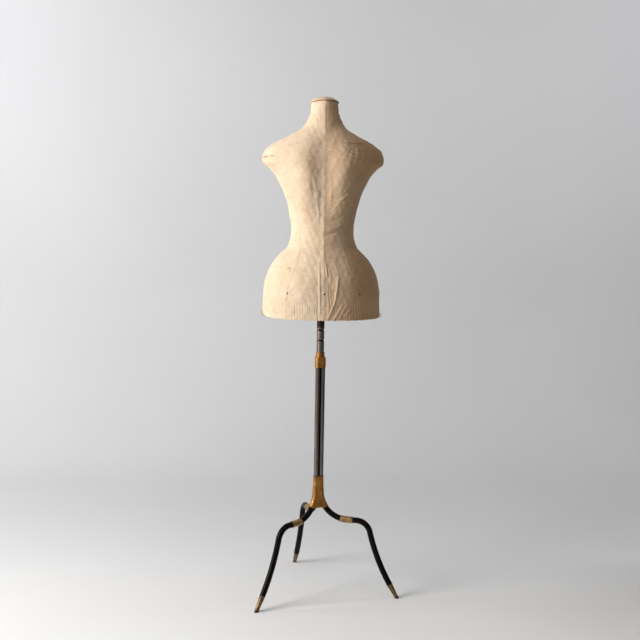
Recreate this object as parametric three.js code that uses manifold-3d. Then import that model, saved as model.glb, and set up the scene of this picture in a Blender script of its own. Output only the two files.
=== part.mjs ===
// Dress form (tailor's mannequin) on a three-legged stand.
// Units are millimetres. +Z is up, the back of the form faces +Y, its front faces -Y.
// Everything is built round the post's axis, and the whole is moved at the end so that the
// origin is the centre of the bounding box's bottom face.
import * as THREE from 'three';
import { mergeVertices } from 'three/addons/utils/BufferGeometryUtils.js';
import Module from 'manifold-3d';

const wasm = await Module();
wasm.setup();

const RAD = Math.PI / 180;
const GAP = 0.3;                       // clearance between pieces that touch

// ---- driving dimensions of the stand ----
const ROD_R = 7.8;                     // radius of the three rods where they form the post
const LEG_R = 9.3;                     // radius of the same rods below the hub, as legs
const ROD_SPACING = 16.1;              // distance between the axes of neighbouring rods
const ROD_CIRCLE_R = ROD_SPACING / Math.sqrt(3);
const LEG_TURNS = [46.7, -73.3, 166.7];  // each leg's direction, from +Y towards +X
const ANKLE_Z = 242.8;                 // height of a leg's level stretch
const HIP_BEND_R = 87;                 // bend from the post into the level stretch
const LEVEL_LENGTH = 33;               // level stretch after that bend
const KNEE_BEND_R = 45;                // bend from level down to the shin
const KNEE_TURN = 76 * RAD;
const SHIN_BEND_R = 630;               // gentle outward sweep of the shin
const POST_TOP_Z = 749;                // top ends of the three rods
const HUB_TOP_Z = 380;
const COLLAR_BOTTOM_Z = 730.5;
const COLLAR_TOP_Z = 780;
const COLLAR_RING_R = 13.6;
const COLLAR_BODY_R = 18.4;
const COLLAR_SHOULDER_LOW_Z = 759;
const COLLAR_SHOULDER_HIGH_Z = 769;
const CASTING_EDGE = 0.5;              // softened edges of the hub and the collar
const RIVET_BORE_R = 4.5;              // cast hole between the three rods
const FERRULE_R = 10.6;
const FERRULE_LENGTH = 41;
const FERRULE_ON_BEND = 20;            // length of a ferrule that is still on the hip bend
const SPIGOT_R = 5.5;
const SPIGOT_FIT = 0.4;                // clearance round a spigot in its socket
const SPIGOT_LENGTH = 19;
const TIP_LENGTH = 50;
const TIP_TOP_R = 8.9;
const TIP_END_R = 5.6;

// ---- driving dimensions of the pole and the sliding sleeve ----
const POLE_R = 12;
const POLE_BOTTOM_Z = 753;
const POLE_TOP_Z = 1112;
const NOTCH_PITCH = 32.4;              // spacing of the ring grooves
const NOTCH_FIRST_Z = 817.7;
const NOTCH_COUNT = 7;
const NOTCH_DEPTH = 2.2;
const NOTCH_HALF_WIDTH = 2.6;
const NOTCH_FLOOR_HALF = 1;            // half the flat floor of a groove
const CATCH_NOTCH = 3;                 // the groove that the catch sits in at rest
const CATCH_Z = NOTCH_FIRST_Z + CATCH_NOTCH * NOTCH_PITCH;
const SLEEVE_R = 16;
const SLEEVE_BORE_R = POLE_R + 0.35;
const SLEEVE_BOTTOM_Z = 902;
const SHOULDER_BOTTOM_Z = 949;
const SHOULDER_THICKNESS = 5.5;
const SHOULDER_R = 25;

// ---- driving dimensions of the torso ----
const HEM_Z = 894.5;
const BOARD_Z = 970;                   // middle of the base board
const BOARD_THICKNESS = 18;
const NECK_TOP_Z = 1551;
const NECK_SLANT = 7.5 * RAD;          // the neck's top is higher at the back
const NECK_SLANT_FROM_Z = 1478;
const CANVAS_THICKNESS = 1.2;
const SHELL_GAP = 0.4;                 // between the cover and the shell
const SHELL_THICKNESS = 5;
const BOARD_INSET = CANVAS_THICKNESS + SHELL_GAP + SHELL_THICKNESS + 2.4;
const COLUMNS_PER_PANEL = 3;
const PANELS_ROUND = 8;
const COLUMNS = COLUMNS_PER_PANEL * PANELS_ROUND;
const ARM_PLATE_LOW_Z = 1322;
const ARM_PLATE_HIGH_Z = 1371;

// Body stations, from the hem to the neck: height, half width, depth to the back, depth to
// the front, and the roundness exponent of the section (2 is an ellipse, more is squarer).
const STATIONS = [
  { z: 894.5, half: 184, back: 136, front: 121, square: 2.2 },
  { z: 970, half: 182, back: 141, front: 119, square: 2.2 },
  { z: 1008, half: 176.5, back: 140, front: 116, square: 2.15 },
  { z: 1046, half: 162.6, back: 131, front: 109, square: 2.1 },
  { z: 1084, half: 136, back: 113, front: 100, square: 2.05 },
  { z: 1115, half: 106.6, back: 97, front: 91, square: 2.0 },
  { z: 1159, half: 96.6, back: 88, front: 86, square: 2.0 },
  { z: 1210, half: 103.2, back: 90, front: 96, square: 2.05 },
  { z: 1260, half: 115.1, back: 97, front: 112, square: 2.1 },
  { z: 1308, half: 136.4, back: 103, front: 121, square: 2.15 },
  { z: 1333, half: 150.6, back: 104.5, front: 119, square: 2.2 },
  { z: 1356, half: 171.5, back: 103.5, front: 113, square: 2.3 },
  { z: 1370, half: 188, back: 102, front: 108, square: 2.35 },
  { z: 1382, half: 190, back: 99, front: 102, square: 2.35 },
  { z: 1406, half: 183.6, back: 93, front: 88, square: 2.3 },
  { z: 1430, half: 154.8, back: 84, front: 73, square: 2.2 },
  { z: 1454, half: 107.6, back: 74, front: 62, square: 2.1 },
  { z: 1479, half: 67, back: 62, front: 53, square: 2.0 },
  { z: 1502, half: 51.9, back: 54.5, front: 48, square: 2.0 },
  { z: 1527, half: 42.9, back: 47.5, front: 44, square: 2.0 },
  { z: 1551, half: 41.8, back: 43, front: 41.5, square: 2.0 },
];

// Where the side-back seam lies round the section, in degrees from the centre back.
const SEAM_STATIONS = [
  { z: 894.5, turn: 35 },
  { z: 980, turn: 35 },
  { z: 1022, turn: 33 },
  { z: 1066, turn: 31 },
  { z: 1100, turn: 36.5 },
  { z: 1130, turn: 43.5 },
  { z: 1165, turn: 48 },
  { z: 1260, turn: 56 },
  { z: 1322, turn: 66 },
  { z: 1551, turn: 66 },
];

// Rows of the surface grid: each zone runs up to its top in equal steps.
const ROW_ZONES = [
  { top: 995, steps: 4 },
  { top: 1134, steps: 6 },
  { top: ARM_PLATE_LOW_Z, steps: 6 },
  { top: ARM_PLATE_HIGH_Z, steps: 4 },
  { top: 1480, steps: 7 },
  { top: NECK_TOP_Z, steps: 4 },
];

// Tacks that hold the cover and the shell to the board: one at each seam, the side seams left out.
const TACK_Z = 975;
const TACK_PANEL_SEAMS = [0, 1, 3, 4, 5, 7];   // counted from the centre back
const TACK_COLUMNS = TACK_PANEL_SEAMS.map((seam) => seam * COLUMNS_PER_PANEL);

// ---- materials ----
function material(color, roughness, metalness) {
  return new THREE.MeshStandardMaterial({ color, roughness, metalness });
}
const looks = {
  canvas: () => material(0xd8c4a2, 0.95, 0.0),
  shell: () => material(0x8f7350, 0.9, 0.0),
  wood: () => material(0xa07c52, 0.75, 0.0),
  band: () => material(0x4a2416, 0.8, 0.0),
  brass: () => material(0xb08745, 0.4, 1.0),
  steel: () => material(0x6d6a68, 0.45, 1.0),
  darkSteel: () => material(0x2f2b2b, 0.5, 0.9),
  iron: () => material(0x3a3735, 0.6, 0.9),
};

const group = new THREE.Group();
group.name = 'dress_form';

function addPiece(name, geometry, look) {
  const mesh = new THREE.Mesh(geometry, look());
  mesh.name = name;
  group.add(mesh);
  return mesh;
}

// ---- geometry helpers ----

// A closed body from triangles given as indices into a list of points.
function closedBody(points, triangles) {
  const geometry = new THREE.BufferGeometry();
  geometry.setAttribute('position', new THREE.Float32BufferAttribute(
    points.flatMap((p) => [p.x, p.y, p.z]), 3));
  let volume = 0;
  const cross = new THREE.Vector3();
  for (const [a, b, c] of triangles) {
    volume += points[a].dot(cross.crossVectors(points[b], points[c]));
  }
  const faces = volume < 0 ? triangles.map(([a, b, c]) => [a, c, b]) : triangles;
  geometry.setIndex(faces.flat());
  return geometry;
}

// Joins rings of equal length into one skin; with loop the last ring joins the first,
// and otherwise each end is closed with a fan.
function loft(rings, loop = false) {
  const count = rings[0].length;
  const points = rings.flat();
  const triangles = [];
  const last = loop ? rings.length : rings.length - 1;
  for (let i = 0; i < last; i += 1) {
    const low = i * count;
    const high = ((i + 1) % rings.length) * count;
    for (let j = 0; j < count; j += 1) {
      const k = (j + 1) % count;
      triangles.push([low + j, low + k, high + k], [low + j, high + k, high + j]);
    }
  }
  if (!loop) {
    for (const [start, flip] of [[0, true], [(rings.length - 1) * count, false]]) {
      const centre = new THREE.Vector3();
      for (let j = 0; j < count; j += 1) {
        centre.addScaledVector(points[start + j], 1 / count);
      }
      points.push(centre);
      for (let j = 0; j < count; j += 1) {
        const k = (j + 1) % count;
        const face = [points.length - 1, start + j, start + k];
        triangles.push(flip ? [face[0], face[2], face[1]] : face);
      }
    }
  }
  return closedBody(points, triangles);
}

function toManifold(geometry) {
  const bare = geometry.clone();
  bare.deleteAttribute('normal');
  bare.deleteAttribute('uv');
  const merged = mergeVertices(bare, 1e-4);
  return new wasm.Manifold(new wasm.Mesh({
    numProp: 3,
    vertProperties: Float32Array.from(merged.attributes.position.array),
    triVerts: Uint32Array.from(merged.index.array),
  }));
}

function fromManifold(body) {
  const mesh = body.getMesh();
  const geometry = new THREE.BufferGeometry();
  geometry.setAttribute('position', new THREE.Float32BufferAttribute(mesh.vertProperties, 3));
  geometry.setIndex(Array.from(mesh.triVerts));
  return geometry;
}

function cut(geometry, cutters) {
  let body = toManifold(geometry);
  for (const cutter of cutters) {
    body = body.subtract(toManifold(cutter));
  }
  return fromManifold(body);
}

function join(geometries) {
  return fromManifold(geometries.map(toManifold).reduce((whole, next) => whole.add(next)));
}

// An upright cylinder between two heights.
function uprightCylinder(radius, bottom, top, segments = 24) {
  const geometry = new THREE.CylinderGeometry(radius, radius, top - bottom, segments);
  geometry.rotateX(Math.PI / 2);
  geometry.translate(0, 0, (bottom + top) / 2);
  return geometry;
}

// A body turned round +Z from [radius, height] pairs.
function turned(profile, segments = 24) {
  const geometry = new THREE.LatheGeometry(profile.map(([r, z]) => new THREE.Vector2(r, z)), segments);
  geometry.rotateX(Math.PI / 2);
  return geometry;
}

function box(low, high) {
  const geometry = new THREE.BoxGeometry(high[0] - low[0], high[1] - low[1], high[2] - low[2]);
  geometry.translate((low[0] + high[0]) / 2, (low[1] + high[1]) / 2, (low[2] + high[2]) / 2);
  return geometry;
}

function mix(a, b, share) {
  return a + (b - a) * share;
}

function smooth(low, high, value) {
  const share = Math.min(1, Math.max(0, (value - low) / (high - low)));
  return share * share * (3 - 2 * share);
}

// Monotone cubic through stations, so that the outline never swings past a station.
function throughStations(stations, key, z) {
  const last = stations.length - 1;
  const value = (i) => stations[i][key];
  const slope = (i) => (value(i + 1) - value(i)) / (stations[i + 1].z - stations[i].z);
  const tangent = (i) => {
    if (i === 0) return slope(0);
    if (i === last) return slope(last - 1);
    const before = slope(i - 1);
    const after = slope(i);
    return before * after <= 0 ? 0 : (2 * before * after) / (before + after);
  };
  if (z <= stations[0].z) return value(0);
  if (z >= stations[last].z) return value(last);
  let i = 0;
  while (z > stations[i + 1].z) i += 1;
  const span = stations[i + 1].z - stations[i].z;
  const t = (z - stations[i].z) / span;
  return (2 * t ** 3 - 3 * t ** 2 + 1) * value(i) + (t ** 3 - 2 * t ** 2 + t) * span * tangent(i)
    + (-2 * t ** 3 + 3 * t ** 2) * value(i + 1) + (t ** 3 - t ** 2) * span * tangent(i + 1);
}

// ---- legs ----

// The centre line of one leg in its own upright plane, from the top of the post to the
// floor: a straight, three arcs and a level straight, each tangent to the next.
const HIP_CENTRE = { r: ROD_CIRCLE_R + HIP_BEND_R, z: ANKLE_Z + HIP_BEND_R };
const POST_LENGTH = POST_TOP_Z - HIP_CENTRE.z;
const HIP_LENGTH = HIP_BEND_R * Math.PI / 2;
const KNEE_LENGTH = KNEE_BEND_R * KNEE_TURN;
const KNEE_START = POST_LENGTH + HIP_LENGTH + LEVEL_LENGTH;
const KNEE_CENTRE = { r: HIP_CENTRE.r + LEVEL_LENGTH, z: ANKLE_Z - KNEE_BEND_R };
const SHIN_START = KNEE_START + KNEE_LENGTH;
const SHIN_TOP = {
  r: KNEE_CENTRE.r + KNEE_BEND_R * Math.sin(KNEE_TURN),
  z: KNEE_CENTRE.z + KNEE_BEND_R * Math.cos(KNEE_TURN),
};
const SHIN_LEAN = Math.PI / 2 - KNEE_TURN;     // from upright, at the top of the shin
const SHIN_LEAN_AT_FLOOR = Math.asin(Math.sin(SHIN_LEAN) + SHIN_TOP.z / SHIN_BEND_R);
const LEG_LENGTH = SHIN_START + SHIN_BEND_R * (SHIN_LEAN_AT_FLOOR - SHIN_LEAN);
const SWELL_FROM = 6;                  // lengths along the hip bend between which a rod swells
const SWELL_TO = 34;

// The point at a length s along a leg, and how far it has turned from pointing down.
function legAt(s) {
  if (s < POST_LENGTH) return { r: ROD_CIRCLE_R, z: POST_TOP_Z - s, lean: 0 };
  if (s < POST_LENGTH + HIP_LENGTH) {
    const turn = (s - POST_LENGTH) / HIP_BEND_R;
    return {
      r: HIP_CENTRE.r - HIP_BEND_R * Math.cos(turn),
      z: HIP_CENTRE.z - HIP_BEND_R * Math.sin(turn),
      lean: turn,
    };
  }
  if (s < KNEE_START) {
    return { r: HIP_CENTRE.r + s - POST_LENGTH - HIP_LENGTH, z: ANKLE_Z, lean: Math.PI / 2 };
  }
  if (s < SHIN_START) {
    const turn = (s - KNEE_START) / KNEE_BEND_R;
    return {
      r: KNEE_CENTRE.r + KNEE_BEND_R * Math.sin(turn),
      z: KNEE_CENTRE.z + KNEE_BEND_R * Math.cos(turn),
      lean: Math.PI / 2 - turn,
    };
  }
  const lean = SHIN_LEAN + (s - SHIN_START) / SHIN_BEND_R;
  return {
    r: SHIN_TOP.r + SHIN_BEND_R * (Math.cos(SHIN_LEAN) - Math.cos(lean)),
    z: SHIN_TOP.z - SHIN_BEND_R * (Math.sin(lean) - Math.sin(SHIN_LEAN)),
    lean,
  };
}

// The rods swell inside the hub, from the post's radius to the legs'.
function legRadius(s) {
  return mix(ROD_R, LEG_R, smooth(POST_LENGTH + SWELL_FROM, POST_LENGTH + SWELL_TO, s));
}

function legRing(s, radius, segments) {
  const { r, z, lean } = legAt(s);
  const ring = [];
  for (let j = 0; j < segments; j += 1) {
    const turn = (2 * Math.PI * j) / segments;
    const out = radius * Math.cos(turn);
    ring.push(new THREE.Vector3(r + out * Math.cos(lean), radius * Math.sin(turn), z + out * Math.sin(lean)));
  }
  return ring;
}

// Lengths to put rings at between two lengths: close together on the bends only.
function legSteps(from, to) {
  const bends = [
    [0, POST_LENGTH, 1],
    [POST_LENGTH, POST_LENGTH + HIP_LENGTH, 10],
    [POST_LENGTH + HIP_LENGTH, KNEE_START, 1],
    [KNEE_START, SHIN_START, 7],
    [SHIN_START, LEG_LENGTH, 6],
  ];
  const steps = [from];
  for (const [start, end, count] of bends) {
    for (let i = 0; i <= count; i += 1) {
      const s = mix(start, end, i / count);
      if (s > steps[steps.length - 1] + 1 && s < to - 1) steps.push(s);
    }
  }
  steps.push(to);
  return steps;
}

// A round bar along the leg, a wall thicker than the rod; each end may carry a thinner spigot.
function legBar(from, to, wall, segments, spigots = [0, 0]) {
  const stretch = (start, end, radiusAt) => (
    legSteps(start, end).map((s) => legRing(s, radiusAt(s), segments)));
  const rings = stretch(from, to, (s) => legRadius(s) + wall);
  if (spigots[0]) rings.unshift(...stretch(from - SPIGOT_LENGTH, from, () => spigots[0]));
  if (spigots[1]) rings.push(...stretch(to, to + SPIGOT_LENGTH, () => spigots[1]));
  return loft(rings);
}

// A sleeve along the leg, open at both ends.
function legSleeve(from, to, outer, inner, segments) {
  const steps = legSteps(from, to);
  const outside = steps.map((s) => legRing(s, outer, segments));
  const inside = steps.reverse().map((s) => legRing(s, inner, segments));
  return loft([...outside, ...inside], true);
}

const FERRULE_START = POST_LENGTH + HIP_LENGTH - FERRULE_ON_BEND;
const FERRULE_END = FERRULE_START + FERRULE_LENGTH;
const TIP_START = LEG_LENGTH - TIP_LENGTH;
const LEG_SEGMENTS = 14;
const TIP_SPIGOT_R = SPIGOT_R - 1;

function upperRod() {
  return legBar(0, FERRULE_START - GAP, 0, LEG_SEGMENTS, [0, SPIGOT_R]);
}

function ferrule() {
  return legSleeve(FERRULE_START, FERRULE_END, FERRULE_R, SPIGOT_R + SPIGOT_FIT, LEG_SEGMENTS);
}

function shinRod() {
  return legBar(FERRULE_END + GAP, TIP_START - GAP, 0, LEG_SEGMENTS, [SPIGOT_R, TIP_SPIGOT_R]);
}

// A tapered brass shoe with a blind socket, trimmed level with the floor.
function footTip() {
  const past = 6;                       // length beyond the floor, trimmed off
  const ring = 3;                       // plain ring above the taper
  const bore = TIP_SPIGOT_R + SPIGOT_FIT;
  const socket = SPIGOT_LENGTH + 1;
  const tip = turned([
    [0, socket],
    [bore, socket],
    [bore, 0],
    [TIP_TOP_R, 0],
    [TIP_TOP_R, ring],
    [TIP_TOP_R - 0.6, ring + 1],
    [TIP_END_R, TIP_LENGTH + past],
    [0, TIP_LENGTH + past],
  ], LEG_SEGMENTS);
  const { r, z, lean } = legAt(TIP_START);
  tip.rotateY(Math.PI - lean);          // +Z now points down and outwards
  tip.translate(r, 0, z);
  const reach = 2 * TIP_LENGTH;
  return cut(tip, [box([r - reach, -reach, -reach], [r + reach, reach, 0])]);
}

function atLeg(geometry, turnDegrees) {
  const placed = geometry.clone();
  placed.rotateZ(Math.PI / 2 - turnDegrees * RAD);
  return placed;
}

// ---- hub and collar ----

const FIRST_LEG = Math.PI / 2 - LEG_TURNS[0] * RAD;   // from +X, anticlockwise
const CASTING_SEGMENTS = 36;

// The radius in a direction of the outline that wraps three circles standing at the leg
// directions: round at each circle and flat between them.
function wrapRadius(turn, circleR, wallR) {
  const third = (2 * Math.PI) / 3;
  const offset = turn - FIRST_LEG;
  const off = Math.abs(offset - third * Math.round(offset / third));
  const touch = Math.atan2(wallR * Math.sin(third / 2), circleR + wallR * Math.cos(third / 2));
  if (off <= touch) {
    return circleR * Math.cos(off) + Math.sqrt(wallR ** 2 - (circleR * Math.sin(off)) ** 2);
  }
  return (circleR / 2 + wallR) / Math.cos(third / 2 - off);
}

function ringAt(z, segments, radiusAt) {
  const ring = [];
  for (let j = 0; j < segments; j += 1) {
    const turn = FIRST_LEG + (2 * Math.PI * j) / segments;
    const radius = radiusAt(turn);
    ring.push(new THREE.Vector3(radius * Math.cos(turn), radius * Math.sin(turn), z));
  }
  return ring;
}

// Holes for the three rods, from a height above their tops or beside them down past the bend.
function rodHoles(top) {
  const from = POST_TOP_Z - top;
  const hole = legBar(from, FERRULE_START, GAP, LEG_SEGMENTS);
  return LEG_TURNS.map((turn) => atLeg(hole, turn));
}

// A casting that wraps the three rods at the bend and ends in a short sleeve on each leg.
function hubCasting() {
  const armEnd = 36 * RAD;
  const topR = ROD_R + 1.2;
  const skirtR = LEG_R + 1.3;
  const coreBottom = 279.5;
  const thinFrom = 350;                 // the wall is at its thinnest above this height
  const archR = 22;
  const archRise = 5;
  const heights = [
    coreBottom, mix(coreBottom, HIP_CENTRE.z, 0.25), mix(coreBottom, HIP_CENTRE.z, 0.5), HIP_CENTRE.z,
    mix(HIP_CENTRE.z, thinFrom, 0.75), HUB_TOP_Z - 2, HUB_TOP_Z,
  ];
  const rings = [];
  for (const z of heights) {
    const drop = Math.max(0, HIP_CENTRE.z - z);
    const circleR = HIP_CENTRE.r - Math.sqrt(HIP_BEND_R ** 2 - drop ** 2);
    const edge = z === HUB_TOP_Z ? CASTING_EDGE : 0;
    const wallR = mix(skirtR, topR, smooth(HIP_CENTRE.z, thinFrom, z)) - edge;
    rings.push(ringAt(z, CASTING_SEGMENTS, (turn) => wrapRadius(turn, circleR, wallR)));
  }
  const armFrom = POST_LENGTH + SWELL_TO;
  const arm = legBar(armFrom, POST_LENGTH + HIP_BEND_R * armEnd, skirtR - LEG_R, LEG_SEGMENTS);
  const whole = join([loft(rings), ...LEG_TURNS.map((turn) => atLeg(arm, turn))]);
  const arch = new THREE.SphereGeometry(archR, 16, 8);
  arch.translate(0, 0, coreBottom + archRise - archR);
  return cut(whole, [
    ...rodHoles(HUB_TOP_Z + 10),
    uprightCylinder(RIVET_BORE_R, HIP_CENTRE.z - 8, HUB_TOP_Z + 5, 12),
    arch,
  ]);
}

// The top collar: a round body that steps in to the ring that holds the pole, filed flat
// between the rods, so that each flat ends in an arch at the round shoulder.
function topCollar() {
  const wall = 2.4;
  const heights = [COLLAR_BOTTOM_Z, COLLAR_BOTTOM_Z + 1, POST_TOP_Z + 1];
  const shoulderSteps = 5;
  for (let i = 0; i <= shoulderSteps; i += 1) {
    heights.push(mix(COLLAR_SHOULDER_LOW_Z, COLLAR_SHOULDER_HIGH_Z, i / shoulderSteps));
  }
  heights.push(COLLAR_TOP_Z - 1, COLLAR_TOP_Z);
  const rings = heights.map((z) => {
    const edge = z === COLLAR_BOTTOM_Z || z === COLLAR_TOP_Z ? CASTING_EDGE : 0;
    const ringShare = smooth(COLLAR_SHOULDER_LOW_Z, COLLAR_SHOULDER_HIGH_Z, z);
    const turnedR = mix(COLLAR_BODY_R, COLLAR_RING_R, ringShare);
    const flatR = (turn) => wrapRadius(turn, ROD_CIRCLE_R, ROD_R + wall);
    return ringAt(z, CASTING_SEGMENTS, (turn) => Math.min(turnedR, flatR(turn)) - edge);
  });
  return cut(loft(rings), [
    ...rodHoles(POST_TOP_Z + GAP),
    uprightCylinder(RIVET_BORE_R, COLLAR_BOTTOM_Z - 5, POST_TOP_Z + GAP, 12),
    uprightCylinder(POLE_R + GAP, POLE_BOTTOM_Z - GAP, COLLAR_TOP_Z + 5, 32),
  ]);
}

// ---- pole, sleeve and catch ----

// The pole with a V groove at each notch.
function pole() {
  const profile = [[0, POLE_BOTTOM_Z], [POLE_R, POLE_BOTTOM_Z]];
  for (let i = 0; i < NOTCH_COUNT; i += 1) {
    const z = NOTCH_FIRST_Z + i * NOTCH_PITCH;
    profile.push([POLE_R, z - NOTCH_HALF_WIDTH]);
    profile.push([POLE_R - NOTCH_DEPTH, z - NOTCH_FLOOR_HALF]);
    profile.push([POLE_R - NOTCH_DEPTH, z + NOTCH_FLOOR_HALF]);
    profile.push([POLE_R, z + NOTCH_HALF_WIDTH]);
  }
  const chamfer = 2;
  profile.push([POLE_R, POLE_TOP_Z - chamfer], [POLE_R - chamfer, POLE_TOP_Z], [0, POLE_TOP_Z]);
  return turned(profile, 16);
}

const PIN_Y = 21;
const PIN_Z = 940;
const PIN_R = 2;
const LEVER_HALF = 4;                  // half the lever's thickness
const EAR_GAP = 0.5;                   // between the lever and each ear
const EAR_THICKNESS = 4;
const SHOULDER_TOP_Z = SHOULDER_BOTTOM_Z + SHOULDER_THICKNESS;
const BOARD_TOP_Z = BOARD_Z + BOARD_THICKNESS / 2;
const BOARD_BOTTOM_Z = BOARD_Z - BOARD_THICKNESS / 2;
const FLANGE_THICKNESS = 5;
const NUT_THICKNESS = 7;
const SLEEVE_TOP_Z = BOARD_TOP_Z + NUT_THICKNESS + 2;

function crosswisePin(radius, half, segments = 12) {
  const geometry = new THREE.CylinderGeometry(radius, radius, half * 2, segments);
  geometry.rotateZ(Math.PI / 2);
  geometry.translate(0, PIN_Y, PIN_Z);
  return geometry;
}

// Brass sleeve on the pole: a shoulder carries the torso, and two ears hold the catch.
function slideSleeve() {
  const body = turned([
    [SLEEVE_BORE_R, SLEEVE_BOTTOM_Z],
    [SLEEVE_R, SLEEVE_BOTTOM_Z],
    [SLEEVE_R, SHOULDER_BOTTOM_Z],
    [SHOULDER_R, SHOULDER_BOTTOM_Z],
    [SHOULDER_R, SHOULDER_TOP_Z],
    [SLEEVE_R, SHOULDER_TOP_Z],
    [SLEEVE_R, SLEEVE_TOP_Z],
    [SLEEVE_BORE_R, SLEEVE_TOP_Z],
    [SLEEVE_BORE_R, SLEEVE_BOTTOM_Z],
  ], 32);
  const slot = LEVER_HALF + EAR_GAP;
  const earRoot = SLEEVE_R - 2;
  const earBottom = PIN_Z - 6;
  const earTip = PIN_Y + 5;
  const ears = [-slot - EAR_THICKNESS, slot].map((x) => (
    box([x, earRoot, earBottom], [x + EAR_THICKNESS, earTip, SHOULDER_BOTTOM_Z + 1])));
  const toothWindow = box([-slot, POLE_R - 3, CATCH_Z - 5], [slot, SLEEVE_R + 2, CATCH_Z + 4]);
  const leverRoom = box([-slot, SLEEVE_R - 0.8, PIN_Z - 12], [slot, PIN_Y + 8, SHOULDER_BOTTOM_Z]);
  return cut(join([body, ...ears]), [
    toothWindow,
    leverRoom,
    crosswisePin(PIN_R + 0.25, 20),
    uprightCylinder(SLEEVE_BORE_R, SLEEVE_BOTTOM_Z - 5, SLEEVE_TOP_Z + 5, 32),
  ]);
}

// The catch lever, drawn in the YZ plane: an eye on the pin, an arm down the sleeve, a tooth
// into the groove, and a thumb tab at the bottom.
function catchLever() {
  const eyeR = 4.6;
  const armIn = SLEEVE_R + 1;
  const armOut = armIn + 4.5;
  const toothTip = POLE_R - NOTCH_DEPTH + 0.7;
  const tabTop = CATCH_Z - 7;
  const tabBottom = CATCH_Z - 17;
  const tabReach = 12;
  const tabThickness = 2.5;
  const outline = new THREE.Shape();
  outline.moveTo(armIn, PIN_Z - 3);
  outline.lineTo(armIn, CATCH_Z + 2.4);
  outline.lineTo(POLE_R + 1, CATCH_Z + 1.6);
  outline.lineTo(toothTip, CATCH_Z + 0.4);
  outline.lineTo(toothTip, CATCH_Z - 0.6);
  outline.lineTo(POLE_R + 1, CATCH_Z - 1.6);
  outline.lineTo(armIn, CATCH_Z - 2.4);
  outline.lineTo(armIn, tabTop - 2);
  outline.lineTo(armIn + tabReach, tabBottom);
  outline.lineTo(armIn + tabReach + tabThickness, tabBottom + 3);
  outline.lineTo(armOut, tabTop);
  outline.lineTo(armOut, PIN_Z - 4);
  outline.absarc(PIN_Y, PIN_Z, eyeR, -0.2 * Math.PI, 1.25 * Math.PI, false);
  const eye = new THREE.Path();
  eye.absarc(PIN_Y, PIN_Z, PIN_R + 0.3, 0, 2 * Math.PI, true);
  outline.holes.push(eye);
  const geometry = new THREE.ExtrudeGeometry(outline, {
    depth: LEVER_HALF * 2, bevelEnabled: false, curveSegments: 6,
  });
  geometry.translate(0, 0, -LEVER_HALF);
  geometry.applyMatrix4(new THREE.Matrix4().set(0, 0, 1, 0, 1, 0, 0, 0, 0, 1, 0, 0, 0, 0, 0, 1));
  return geometry;
}

const PIN_FREE_LENGTH = 14.6;
const PIN_HEAD_HALF = 0.8;
const EAR_OUT = LEVER_HALF + EAR_GAP + EAR_THICKNESS;
const COIL_TURNS = 3.25;
const COIL_R = 3.4;
const COIL_FROM = EAR_OUT + 1.1;
const COIL_TO = COIL_FROM + 4;

// A small coil round the pin's free end.
class Coil extends THREE.Curve {
  getPoint(t, target = new THREE.Vector3()) {
    const turn = 2 * Math.PI * COIL_TURNS * t;
    const across = -mix(COIL_FROM, COIL_TO, t);
    return target.set(across, PIN_Y + COIL_R * Math.cos(turn), PIN_Z + COIL_R * Math.sin(turn));
  }
}

function catchSpring() {
  const wire = new THREE.Shape();
  wire.absarc(0, 0, 0.5, 0, 2 * Math.PI);
  return new THREE.ExtrudeGeometry(wire, {
    steps: 26, extrudePath: new Coil(), bevelEnabled: false, curveSegments: 4,
  });
}

function catchPin() {
  const reach = PIN_FREE_LENGTH + PIN_HEAD_HALF;
  const headX = EAR_OUT + GAP + PIN_HEAD_HALF;
  const shank = crosswisePin(PIN_R, (reach + headX) / 2);
  shank.translate((headX - reach) / 2, 0, 0);
  const head = crosswisePin(3.2, PIN_HEAD_HALF);
  const stop = head.clone();
  head.translate(headX, 0, 0);
  stop.translate(-reach, 0, 0);
  return join([shank, head, stop]);
}

function sleeveNut() {
  const bottom = BOARD_TOP_Z + 0.5;
  const nut = uprightCylinder(22, bottom, bottom + NUT_THICKNESS, 6);
  return cut(nut, [uprightCylinder(SLEEVE_R + GAP, BOARD_TOP_Z - 5, SLEEVE_TOP_Z + 5, 32)]);
}

// ---- torso surface ----

// Smooth bumps added to the sections: bust, shoulder blades and seat.
const BUMPS = [
  { side: -1, x: 64, z: 1296, wide: 56, high: 50, out: 21 },
  { side: 1, x: 72, z: 1350, wide: 40, high: 70, out: 5 },
  { side: 1, x: 62, z: 985, wide: 70, high: 62, out: 7 },
];
// Hollows down the middle of the back: in its small, and between the shoulder blades.
const HOLLOWS = [
  { z: 1262, wide: 40, high: 75, depth: 13 },
  { z: 1375, wide: 40, high: 70, depth: 8 },
];
// The shoulders sweep forward, more the further out they are.
const SWEEP = { fromX: 50, reach: 140, depth: 26, power: 1.3 };
const SWEEP_LOW = { from: 1240, to: 1300 };     // heights where the sweep grows
const SWEEP_HIGH = { from: 1460, to: 1500 };    // and where it fades out again

function bell(distance, width) {
  return Math.exp(-((distance / width) ** 2));
}

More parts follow.
